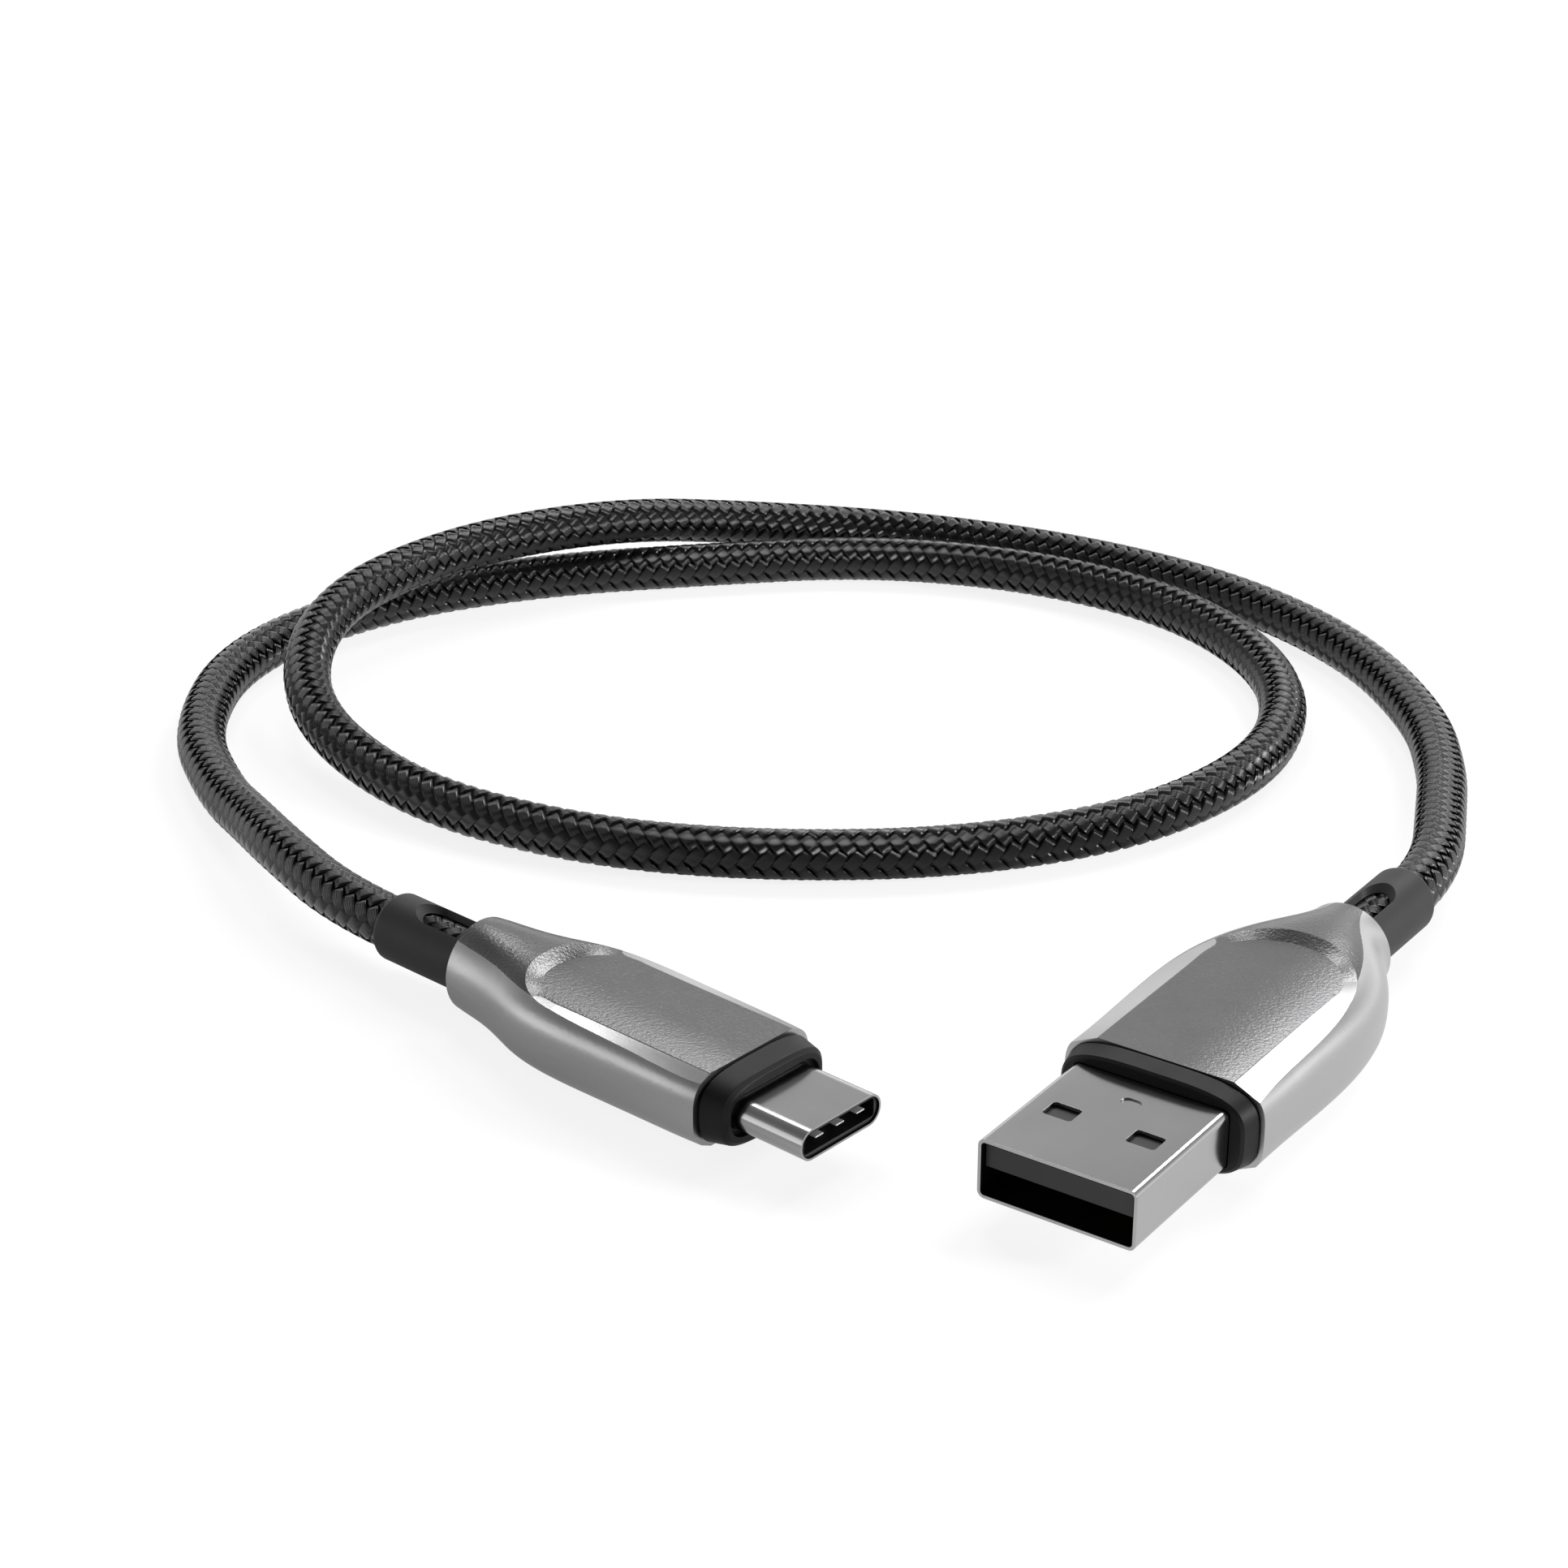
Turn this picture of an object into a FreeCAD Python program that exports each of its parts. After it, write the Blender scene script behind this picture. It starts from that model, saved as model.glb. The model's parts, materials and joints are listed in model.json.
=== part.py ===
import FreeCAD, Part
import Sketcher
import math
import os
from FreeCAD import Placement, Rotation, Vector

# A braided charging cable: a wide plug for the charger at one end, a slim plug
# for the phone at the other, and one loose loop of round braided cord between.
# Each plug is drawn in its own frame: X runs from its tip towards the cord,
# Y across it and Z up. It is then laid on the table, which is Z = 0.

os.makedirs("parts", exist_ok=True)
doc = FreeCAD.newDocument("charging_cable")

# Driving dimensions, in millimetres and degrees
SIZES = {
    # the cord and what both plugs share
    "cord_diameter": 4.1,
    "fit_gap": 0.05,
    "boot_radius": 2.65,
    "boot_tail": 4.2,
    "boot_step": 0.15,
    "boot_round": 0.45,
    "neck_radius": 3.6,
    "neck_bevel": 0.25,
    "crimp_length": 3.6,
    "crimp_wall": 0.35,
    "jacket_strip": 2.6,
    "wire_radius": 0.42,
    "wire_ring": 0.85,
    "wire_lead": 2.5,
    "boot_window_depth": 1.5,
    "boot_window_length": 4.0,
    "boot_window_half_width": 0.95,
    "boot_scoop_length": 5.4,
    "boot_scoop_half_width": 1.55,
    "boot_window_start": 0.85,
    # the wide plug's place on the table: its tip and its heading
    "charger_tip_x": 8.4,
    "charger_tip_y": -20.0,
    "charger_heading": 55.1,
    # the wide connector
    "charger_shell_width": 12.0,
    "charger_shell_height": 4.5,
    "charger_shell_wall": 0.3,
    "charger_shell_corner": 0.55,
    "charger_shell_length": 18.75,
    "charger_window_along": 1.75,
    "charger_window_across": 2.2,
    "charger_window_from_tip": 6.0,
    "charger_window_spread": 3.17,
    "charger_window_corner": 0.25,
    "charger_seam_gap": 0.1,
    "charger_dimple_along": 1.1,
    "charger_dimple_across": 1.5,
    "charger_dimple_from_tip": 9.6,
    "charger_dimple_depth": 0.12,
    "charger_tongue_thickness": 1.85,
    "charger_tongue_side_gap": 0.1,
    "charger_tongue_setback": 0.4,
    "charger_block_length": 6.5,
    "charger_contact_width": 1.0,
    "charger_contact_thickness": 0.2,
    "charger_contact_inner": 1.0,
    "charger_contact_outer": 3.5,
    "charger_contact_tail": 2.6,
    "charger_power_setback": 1.4,
    "charger_data_setback": 2.4,
    "charger_contact_crown": 0.3,
    # the wide plug's collar and housing: side and top say how far a part stands out
    # past what it goes round, and PARTS_ROUND below says what that is
    "charger_exposed": 12.3,
    "charger_nose_length": 0.7,
    "charger_nose_side": 0.95,
    "charger_nose_top": 0.9,
    "charger_nose_round": 0.4,
    "charger_ring_length": 0.75,
    "charger_ring_side": 0.45,
    "charger_ring_top": 0.27,
    "charger_groove": 0.35,
    "charger_spigot_side": 1.15,
    "charger_spigot_top": 0.75,
    "charger_spigot_length": 2.4,
    "charger_housing_length": 27.8,
    "charger_boot_reach": 9.5,
    "charger_mouth_side": 0.6,
    "charger_mouth_top": 0.85,
    "charger_mouth_power": 3.6,
    "charger_belly_from_mouth": 13.6,
    "charger_belly_side": 0.2,
    "charger_belly_top": 0.35,
    "charger_belly_power": 3.2,
    "charger_shoulder_half_width": 6.95,
    "charger_shoulder_half_height": 4.05,
    "charger_flow_half_width": 5.05,
    "charger_flow_half_height": 3.9,
    "charger_panel_height": 3.45,
    "charger_panel_half_width": 5.25,
    "charger_panel_length": 20.0,
    "charger_cavity_side": 0.6,
    "charger_cavity_top": 0.45,
    # the slim plug's place on the table
    "phone_tip_x": -5.4,
    "phone_tip_y": -11.0,
    "phone_heading": 138.2,
    # the slim connector
    "phone_shell_width": 8.25,
    "phone_shell_height": 2.4,
    "phone_shell_wall": 0.2,
    "phone_shell_length": 9.1,
    "phone_slot_width": 6.75,
    "phone_slot_height": 1.3,
    "phone_slot_depth": 6.3,
    "phone_insulator_setback": 0.2,
    "phone_contact_width": 0.25,
    "phone_contact_pitch": 0.5,
    "phone_contact_thickness": 0.15,
    "phone_contact_setback": 3.2,
    "phone_contact_tail": 1.6,
    "phone_board_length": 8.2,
    "phone_board_width": 7.6,
    "phone_board_thickness": 0.8,
    "phone_pad_outer": 2.6,
    "phone_pad_inner": 0.9,
    "phone_resistor_length": 1.0,
    "phone_resistor_width": 0.5,
    "phone_resistor_height": 0.35,
    "phone_spring_thickness": 0.12,
    "phone_spring_setback": 0.7,
    "phone_spring_finger_width": 0.9,
    "phone_spring_finger_pitch": 1.85,
    "phone_spring_finger_length": 1.3,
    "phone_latch_arm": 0.3,
    "phone_latch_thickness": 0.3,
    "phone_latch_setback": 1.9,
    # the slim plug's collar and housing
    "phone_exposed": 5.9,
    "phone_nose_length": 0.95,
    "phone_nose_side": 0.975,
    "phone_nose_top": 1.35,
    "phone_nose_round": 0.4,
    "phone_recess_depth": 0.5,
    "phone_recess_margin": 0.35,
    "phone_ring_length": 0.95,
    "phone_ring_side": 0.45,
    "phone_ring_top": 0.27,
    "phone_groove": 0.35,
    "phone_spigot_side": 1.275,
    "phone_spigot_top": 1.25,
    "phone_spigot_length": 2.2,
    "phone_housing_length": 27.0,
    "phone_boot_reach": 8.9,
    "phone_mouth_side": 0.5,
    "phone_mouth_top": 0.75,
    "phone_mouth_power": 3.3,
    "phone_belly_from_mouth": 11.5,
    "phone_belly_side": 0.25,
    "phone_belly_top": 0.3,
    "phone_belly_power": 3.0,
    "phone_shoulder_half_width": 5.6,
    "phone_shoulder_half_height": 3.55,
    "phone_flow_half_width": 4.35,
    "phone_flow_half_height": 3.6,
    "phone_panel_height": 2.85,
    "phone_panel_half_width": 4.15,
    "phone_panel_length": 18.7,
    "phone_cavity_side": 0.675,
    "phone_cavity_top": 1.0,
    # the housings' flared bevel round the panel
    "bevel_reach": 4.0,
    "bevel_fall_mouth": 0.5,
    "bevel_fall_side": 0.16,
    "bevel_rise_end": 0.62,
}

sheet = doc.addObject("Spreadsheet::Sheet", "sizes")
for row, (alias, number) in enumerate(SIZES.items(), start=1):
    sheet.set("A%d" % row, alias)
    sheet.set("B%d" % row, str(number))
    sheet.setAlias("B%d" % row, alias)
doc.recompute()


class Size:
    """A length as a number, with the formula on the sheet that it comes from."""

    def __init__(self, value, text):
        self.value = value
        self.text = text

    def join(self, other, sign, value):
        text = other.text if isinstance(other, Size) else str(other)
        return Size(value, "(%s %s %s)" % (self.text, sign, text))

    def __add__(self, other):
        return self.join(other, "+", self.value + plain(other))

    def __sub__(self, other):
        return self.join(other, "-", self.value - plain(other))

    def __mul__(self, other):
        return self.join(other, "*", self.value * plain(other))

    def __truediv__(self, other):
        return self.join(other, "/", self.value / plain(other))

    def __neg__(self):
        return Size(-self.value, "(-1 * %s)" % self.text)


def plain(length):
    return length.value if isinstance(length, Size) else length


def size(alias):
    return Size(mm(alias), "sizes.%s" % alias)


def mm(alias):
    return float(sheet.get(alias))


ORIGIN_POINT = -1
START, END, MIDDLE = range(1, 4)
ZERO = Size(0.0, "0")


# Sketches: each outline is drawn round the middle of its own sketch
def new_sketch(body, role, name, right=ZERO, up=ZERO, out=ZERO):
    plane = [f for f in body.Origin.OriginFeatures if f.Role == role][0]
    sketch = body.newObject("Sketcher::SketchObject", name)
    sketch.AttachmentSupport = [(plane, "")]
    sketch.MapMode = "FlatFace"
    sketch.setExpression("AttachmentOffset.Base.x", right.text)
    sketch.setExpression("AttachmentOffset.Base.y", up.text)
    sketch.setExpression("AttachmentOffset.Base.z", out.text)
    return sketch


def bind(sketch, kind, places, length):
    index = sketch.addConstraint(Sketcher.Constraint(kind, *places, length.value))
    sketch.setExpression("Constraints[%d]" % index, length.text)


def line(sketch, x0, y0, x1, y1):
    return sketch.addGeometry(Part.LineSegment(Vector(x0, y0), Vector(x1, y1)))


def arc(sketch, x, y, radius, start, end):
    circle = Part.Circle(Vector(x, y), Vector(0, 0, 1), radius)
    return sketch.addGeometry(Part.ArcOfCircle(circle, math.radians(start), math.radians(end)))


def polygon(sketch, corners):
    """Closed outline of straight sides, every corner set from the middle."""
    count = len(corners)
    for i, (x, y) in enumerate(corners):
        nx, ny = corners[(i + 1) % count]
        line(sketch, plain(x), plain(y), plain(nx), plain(ny))
    for i, (x, y) in enumerate(corners):
        sketch.addConstraint(Sketcher.Constraint("Coincident", i, END, (i + 1) % count, START))
        bind(sketch, "DistanceX", (ORIGIN_POINT, START, i, START), x)
        bind(sketch, "DistanceY", (ORIGIN_POINT, START, i, START), y)


def rectangle(sketch, width, height):
    """Rectangle about the middle of the sketch."""
    half, rise = width.value / 2, height.value / 2
    line(sketch, -half, -rise, half, -rise)
    line(sketch, half, -rise, half, rise)
    line(sketch, half, rise, -half, rise)
    line(sketch, -half, rise, -half, -rise)
    for i in range(4):
        sketch.addConstraint(Sketcher.Constraint("Coincident", i, END, (i + 1) % 4, START))
        sketch.addConstraint(Sketcher.Constraint("Horizontal" if i % 2 == 0 else "Vertical", i))
    sketch.addConstraint(Sketcher.Constraint("Symmetric", 0, START, 2, START, ORIGIN_POINT, START))
    bind(sketch, "DistanceX", (0, START, 0, END), width)
    bind(sketch, "DistanceY", (1, START, 1, END), height)


def rounded_rectangle(sketch, width, height, radius):
    """Rectangle with four equal round corners, about the middle of the sketch."""
    r = radius.value
    half, rise = width.value / 2, height.value / 2
    line(sketch, -half + r, -rise, half - r, -rise)
    arc(sketch, half - r, -rise + r, r, -90, 0)
    line(sketch, half, -rise + r, half, rise - r)
    arc(sketch, half - r, rise - r, r, 0, 90)
    line(sketch, half - r, rise, -half + r, rise)
    arc(sketch, -half + r, rise - r, r, 90, 180)
    line(sketch, -half, rise - r, -half, -rise + r)
    arc(sketch, -half + r, -rise + r, r, 180, 270)
    for i in range(8):
        sketch.addConstraint(Sketcher.Constraint("Tangent", i, END, (i + 1) % 8, START))
    for i in (0, 4):
        sketch.addConstraint(Sketcher.Constraint("Horizontal", i))
        sketch.addConstraint(Sketcher.Constraint("Vertical", i + 2))
    for i in (3, 5, 7):
        sketch.addConstraint(Sketcher.Constraint("Equal", 1, i))
    sketch.addConstraint(Sketcher.Constraint("Symmetric", 0, START, 4, START, ORIGIN_POINT, START))
    bind(sketch, "Radius", (1,), radius)
    bind(sketch, "DistanceX", (6, START, 2, START), width)
    bind(sketch, "DistanceY", (0, START, 4, START), height)


def long_round(sketch, width, height):
    """Flat oblong whose two ends are half circles, about the middle of the sketch."""
    r = height.value / 2
    reach = width.value / 2 - r
    line(sketch, -reach, -r, reach, -r)
    arc(sketch, reach, 0, r, -90, 90)
    line(sketch, reach, r, -reach, r)
    arc(sketch, -reach, 0, r, 90, 270)
    for i in range(4):
        sketch.addConstraint(Sketcher.Constraint("Tangent", i, END, (i + 1) % 4, START))
    sketch.addConstraint(Sketcher.Constraint("Horizontal", 0))
    sketch.addConstraint(Sketcher.Constraint("Equal", 1, 3))
    sketch.addConstraint(Sketcher.Constraint("Symmetric", 0, START, 2, START, ORIGIN_POINT, START))
    bind(sketch, "Radius", (1,), height / 2)
    bind(sketch, "DistanceX", (0, START, 0, END), width - height)


def tombstone(sketch, length, half_width):
    """Door shape along X: square at the middle of the sketch, round at its far end."""
    straight, r = length.value - half_width.value, half_width.value
    line(sketch, 0, r, 0, -r)
    line(sketch, 0, -r, straight, -r)
    arc(sketch, straight, 0, r, -90, 90)
    line(sketch, straight, r, 0, r)
    sketch.addConstraint(Sketcher.Constraint("Coincident", 0, END, 1, START))
    sketch.addConstraint(Sketcher.Constraint("Tangent", 1, END, 2, START))
    sketch.addConstraint(Sketcher.Constraint("Tangent", 2, END, 3, START))
    sketch.addConstraint(Sketcher.Constraint("Coincident", 3, END, 0, START))
    sketch.addConstraint(Sketcher.Constraint("Horizontal", 1))
    sketch.addConstraint(Sketcher.Constraint("Symmetric", 0, START, 0, END, ORIGIN_POINT, START))
    bind(sketch, "Radius", (2,), half_width)
    bind(sketch, "DistanceX", (1, START, 1, END), length - half_width)


def circle(sketch, radius):
    sketch.addGeometry(Part.Circle(Vector(0, 0), Vector(0, 0, 1), radius.value))
    sketch.addConstraint(Sketcher.Constraint("Coincident", 0, MIDDLE, ORIGIN_POINT, START))
    bind(sketch, "Radius", (0,), radius)


# Features of a body
pieces = {"charger": [], "phone": []}


def new_body(plug, name):
    body = doc.addObject("PartDesign::Body", "%s_plug_%s" % (plug, name))
    body.Label = "%s_plug_%s" % (plug, name)
    pieces[plug].append(body)
    return body


def pad(body, sketch, length, side="One side"):
    feature = body.newObject("PartDesign::Pad", "Pad")
    feature.Profile = sketch
    feature.SideType = side
    feature.setExpression("Length", length.text)
    body.Tip = feature
    return feature


def pocket(body, sketch, length, back=False):
    feature = body.newObject("PartDesign::Pocket", "Pocket")
    feature.Profile = sketch
    feature.Reversed = back
    feature.setExpression("Length", length.text)
    body.Tip = feature
    return feature


def through(body, sketch):
    feature = body.newObject("PartDesign::Pocket", "Through")
    feature.Profile = sketch
    feature.SideType = "Symmetric"
    feature.Type = "ThroughAll"
    body.Tip = feature
    return feature


def mirror(body, feature, role):
    copy = body.newObject("PartDesign::Mirrored", "Mirrored")
    copy.Originals = [feature]
    copy.MirrorPlane = ([f for f in body.Origin.OriginFeatures if f.Role == role][0], [""])
    body.Tip = copy
    return copy


def row(body, feature, role, count, pitch):
    copy = body.newObject("PartDesign::LinearPattern", "Row")
    copy.Originals = [feature]
    copy.Direction = ([f for f in body.Origin.OriginFeatures if f.Role == role][0], [""])
    copy.Mode = "Spacing"
    copy.setExpression("Offset", pitch.text)
    copy.Occurrences = count
    body.Tip = copy
    return copy


def shaped(plug, name, shape):
    """A moulded or cast form, worked out from the sheet and kept as one solid."""
    feature = doc.addObject("Part::Feature", "%s_plug_%s" % (plug, name))
    feature.Label = "%s_plug_%s" % (plug, name)
    feature.Shape = shape
    pieces[plug].append(feature)
    return feature


# Forms that both plugs share, from the tip towards the cord
SECTION_POINTS = 32


def soft_oblong(half_width, half_height, power, along):
    """Rounded oblong across the plug: a circle at power 2, squarer above it."""
    points = []
    for step in range(SECTION_POINTS):
        angle = 2 * math.pi * step / SECTION_POINTS
        across, up = math.cos(angle), math.sin(angle)
        reach = (abs(across) ** power + abs(up) ** power) ** (-1 / power)
        points.append(Vector(along, half_width * reach * across, half_height * reach * up))
    curve = Part.BSplineCurve()
    curve.interpolate(Points=points, PeriodicFlag=True, Parameters=list(range(SECTION_POINTS + 1)))
    return Part.Wire([curve.toShape()])


def prism(half_width, half_height, power, start, end):
    face = Part.Face(soft_oblong(half_width, half_height, power, start))
    return face.extrude(Vector(end - start, 0, 0))


PARTS_ROUND = {
    "nose": "shell",
    "ring": "nose",
    "spigot": "shell",
    "mouth": "spigot",
    "belly": "mouth",
    "cavity": "shell",
}


def half_sizes(plug, part):
    """Half width and half height of a part that goes round another."""
    if part == "shell":
        return mm("%s_shell_width" % plug) / 2, mm("%s_shell_height" % plug) / 2
    wide, high = half_sizes(plug, PARTS_ROUND[part])
    return wide + mm("%s_%s_side" % (plug, part)), high + mm("%s_%s_top" % (plug, part))


def mouth_along(plug):
    """Where the metal housing begins, past the collar's nose, ring and groove."""
    return sum(mm("%s_%s" % (plug, part)) for part in ("exposed", "nose_length", "ring_length", "groove"))


def rim_along(plug):
    return mouth_along(plug) + mm("%s_housing_length" % plug)


def bore_along(plug):
    """Where the cavity has narrowed to a round step, which the boot's tail stands on."""
    return rim_along(plug) - mm("boot_tail")


def cavity(plug, gap, start):
    """Space inside the housing, or with a gap the moulding that fills it."""
    wide, high = (half - gap for half in half_sizes(plug, "cavity"))
    round_end = mm("boot_radius") - mm("boot_step") - gap
    narrowing = start + 0.62 * (bore_along(plug) - start)
    sections = [
        soft_oblong(wide, high, 4, start),
        soft_oblong(wide, high, 4, narrowing),
        soft_oblong(round_end, round_end, 2, bore_along(plug)),
    ]
    return Part.makeLoft(sections, True, True)


def spigot_end(plug):
    return mouth_along(plug) + mm("%s_spigot_length" % plug)


def panel_cutter(plug):
    """What is cut from the top: the flat panel, and the bevel that flares round it.

    The bevel falls away along both sides, more at the mouth than at the belly,
    and turns up into a recess wall round the panel's round end."""
    half = mm("%s_panel_half_width" % plug)
    level = mm("%s_panel_height" % plug)
    reach = mm("bevel_reach")
    front = mouth_along(plug) - 1
    centre = mouth_along(plug) + mm("%s_panel_length" % plug) - half
    corners = [Vector(front, -half, level), Vector(centre, -half, level)]
    corners += [Vector(centre, half, level), Vector(front, half, level)]
    near_side = Part.LineSegment(corners[0], corners[1]).toShape()
    round_end = Part.Arc(corners[1], Vector(centre + half, 0, level), corners[2]).toShape()
    far_side = Part.LineSegment(corners[2], corners[3]).toShape()
    mouth_side = Part.LineSegment(corners[3], corners[0]).toShape()

    # The bevel's outer edges, from the same three edges of the panel
    wide = half + reach
    at_mouth = level - reach * mm("bevel_fall_mouth")
    at_belly = level - reach * mm("bevel_fall_side")
    near_outer = Part.LineSegment(Vector(front, -wide, at_mouth), Vector(centre, -wide, at_belly)).toShape()
    far_outer = Part.LineSegment(Vector(centre, wide, at_belly), Vector(front, wide, at_mouth)).toShape()
    ring = []
    steps = 16
    for step in range(steps + 1):
        angle = math.pi * (step / steps - 0.5)
        slope = (mm("bevel_rise_end") + mm("bevel_fall_side")) * math.cos(angle) ** 2 - mm("bevel_fall_side")
        ring.append(Vector(centre + wide * math.cos(angle), wide * math.sin(angle), level + reach * slope))
    end_curve = Part.BSplineCurve()
    end_curve.interpolate(Points=ring, Parameters=list(range(steps + 1)))
    pairs = [(near_side, near_outer), (round_end, end_curve.toShape()), (far_side, far_outer)]
    upward = Vector(0, 0, 2 * level)
    cutter = Part.Face(Part.Wire([near_side, round_end, far_side, mouth_side])).extrude(upward)
    for inner, outer in pairs:
        cutter = cutter.fuse(Part.makeRuledSurface(inner, outer).extrude(upward))
    return cutter


# The housing's sections behind its belly: how far on the way to the rim each
# lies, and how square it is
SHOULDER_AT, SHOULDER_POWER = 0.46, 2.7
FLOW_AT, FLOW_POWER = 0.73, 2.25
SWELL_AT, ROUND_POWER = 0.9, 2.0
SWELL_WIDE, SWELL_HIGH = 1.08, 1.03


def housing(plug):
    """Cast metal body: a rounded oblong at the mouth that flows into a round neck."""
    mouth, rim = mouth_along(plug), rim_along(plug)
    belly = mouth + mm("%s_belly_from_mouth" % plug)
    rest = rim - belly
    neck = mm("neck_radius")
    mouth_wide, mouth_high = half_sizes(plug, "mouth")
    belly_wide, belly_high = half_sizes(plug, "belly")
    mouth_power, belly_power = mm("%s_mouth_power" % plug), mm("%s_belly_power" % plug)
    outside = Part.makeLoft([
        soft_oblong(mouth_wide, mouth_high, mouth_power, mouth),
        soft_oblong(
            (mouth_wide + 2 * belly_wide) / 3,
            (mouth_high + belly_high) / 2,
            (mouth_power + belly_power) / 2,
            (mouth + belly) / 2,
        ),
        soft_oblong(belly_wide, belly_high, belly_power, belly),
        soft_oblong(
            mm("%s_shoulder_half_width" % plug),
            mm("%s_shoulder_half_height" % plug),
            SHOULDER_POWER,
            belly + SHOULDER_AT * rest,
        ),
        soft_oblong(
            mm("%s_flow_half_width" % plug),
            mm("%s_flow_half_height" % plug),
            FLOW_POWER,
            belly + FLOW_AT * rest,
        ),
        soft_oblong(SWELL_WIDE * neck, SWELL_HIGH * neck, ROUND_POWER, belly + SWELL_AT * rest),
        soft_oblong(neck, neck, ROUND_POWER, rim),
    ], True, False)
    cutter = panel_cutter(plug)
    outside = outside.cut(cutter).cut(cutter.mirror(Vector(0, 0, 0), Vector(0, 0, 1)))
    bevel = mm("neck_bevel")
    ahead = Vector(1, 0, 0)
    cone_start = Vector(rim - 2 * bevel, 0, 0)
    edge = Part.makeCylinder(2 * neck, 2 * bevel, cone_start, ahead)
    kept = Part.makeCone(neck + bevel, neck - bevel, 2 * bevel, cone_start, ahead)
    outside = outside.cut(edge.cut(kept))
    gap = mm("fit_gap")
    seat_wide, seat_high = (half + gap for half in half_sizes(plug, "spigot"))
    seat = prism(seat_wide, seat_high, mouth_power, mouth - 1, spigot_end(plug))
    bore = Part.makeCylinder(
        mm("boot_radius") + gap, mm("boot_tail") + 1, Vector(bore_along(plug), 0, 0), ahead
    )
    return outside.cut(seat).cut(cavity(plug, 0, spigot_end(plug))).cut(bore)


def collar(plug, hole):
    """Black moulded collar: a nose, a larger ring, a groove and a spigot in the housing."""
    power = mm("%s_mouth_power" % plug)
    nose = mm("%s_exposed" % plug)
    ring = nose + mm("%s_nose_length" % plug)
    groove = ring + mm("%s_ring_length" % plug)
    nose_block = prism(*half_sizes(plug, "nose"), power, nose, ring)
    ring_block = prism(*half_sizes(plug, "ring"), power, ring, groove)
    spigot = prism(*half_sizes(plug, "spigot"), power, groove, spigot_end(plug))
    front_edges = [e for e in nose_block.Edges if e.BoundBox.XMax < nose + 0.01]
    nose_block = nose_block.makeFillet(mm("%s_nose_round" % plug), front_edges)
    ring_edges = [e for e in ring_block.Edges if e.BoundBox.XMax < ring + 0.01]
    ring_block = ring_block.makeFillet(mm("%s_nose_round" % plug) / 2, ring_edges)
    return nose_block.fuse(ring_block).fuse(spigot).removeSplitter().cut(hole)


# The cord: straight runs joined by tangent arcs
def runs_and_arcs(points, radii_out=None):
    """Path through a route: each arc is as large as its two runs allow."""
    edges = []
    here = points[0]
    for before, corner, after in zip(points, points[1:], points[2:]):
        arriving, leaving = corner - before, after - corner
        half_turn = arriving.getAngle(leaving) / 2
        cut_back = 0.45 * min(arriving.Length, leaving.Length)
        radius = cut_back / math.tan(half_turn)
        arriving.normalize()
        leaving.normalize()
        start, end = corner - arriving * cut_back, corner + leaving * cut_back
        inward = leaving - arriving
        inward.normalize()
        middle = corner + inward * (radius / math.cos(half_turn) - radius)
        edges.append(Part.LineSegment(here, start).toShape())
        edges.append(Part.Arc(start, middle, end).toShape())
        here = end
        if radii_out is not None:
            radii_out.append(radius)
    edges.append(Part.LineSegment(here, points[-1]).toShape())
    return Part.Wire(edges)


def tube(points, radius, radii_out=None):
    path = runs_and_arcs(points, radii_out)
    section = Part.Wire([Part.makeCircle(radius, points[0], points[1] - points[0])])
    return path, path.makePipeShell([section], True, False)


# The wide connector's steel shell: folded from strip, with its seam underneath,
# two latch windows in each wide wall and a small pressed dimple on top
shell = new_body("charger", "shell")
wall = size("charger_shell_wall")
width, height = size("charger_shell_width"), size("charger_shell_height")
outline = new_sketch(shell, "YZ_Plane", "outline")
rounded_rectangle(outline, width, height, size("charger_shell_corner"))
pad(shell, outline, size("charger_shell_length"))
inside = new_sketch(shell, "YZ_Plane", "inside")
rounded_rectangle(inside, width - wall * 2, height - wall * 2, size("charger_shell_corner") - wall)
pocket(shell, inside, size("charger_shell_length"), back=True)
window = new_sketch(
    shell, "XY_Plane", "window", right=size("charger_window_from_tip"), up=size("charger_window_spread")
)
rounded_rectangle(
    window, size("charger_window_along"), size("charger_window_across"), size("charger_window_corner")
)
window_cut = through(shell, window)
mirror(shell, window_cut, "XZ_Plane")
seam = new_sketch(
    shell, "XY_Plane", "seam", right=size("charger_shell_length") / 2, out=-(height / 2)
)
rectangle(seam, size("charger_shell_length") + 1, size("charger_seam_gap"))
pocket(shell, seam, wall, back=True)
dimple = new_sketch(
    shell, "XY_Plane", "dimple", right=size("charger_dimple_from_tip"), out=height / 2
)
rounded_rectangle(
    dimple,
    size("charger_dimple_along"),
    size("charger_dimple_across"),
    size("charger_dimple_along") * 0.48,
)
pocket(shell, dimple, size("charger_dimple_depth"))
charger_shell = shell

# The moulded insulator: a block that closes the shell, and a tongue along its top
insulator = new_body("charger", "insulator")
gap = size("fit_gap")
block_width = width - wall * 2 - gap * 2
block_height = height - wall * 2 - gap * 2
block_start = size("charger_shell_length") - size("charger_block_length")
block = new_sketch(insulator, "YZ_Plane", "block", out=block_start)
rectangle(block, block_width, block_height)
pad(insulator, block, size("charger_block_length"))
tongue_thick = size("charger_tongue_thickness")
tongue_middle = block_height / 2 - tongue_thick / 2
tongue = new_sketch(insulator, "YZ_Plane", "tongue", up=tongue_middle, out=size("charger_tongue_setback"))
rectangle(tongue, width - wall * 2 - size("charger_tongue_side_gap") * 2, tongue_thick)
pad(insulator, tongue, block_start - size("charger_tongue_setback"))
tongue_face = block_height / 2 - tongue_thick
charger_insulator = insulator

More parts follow.
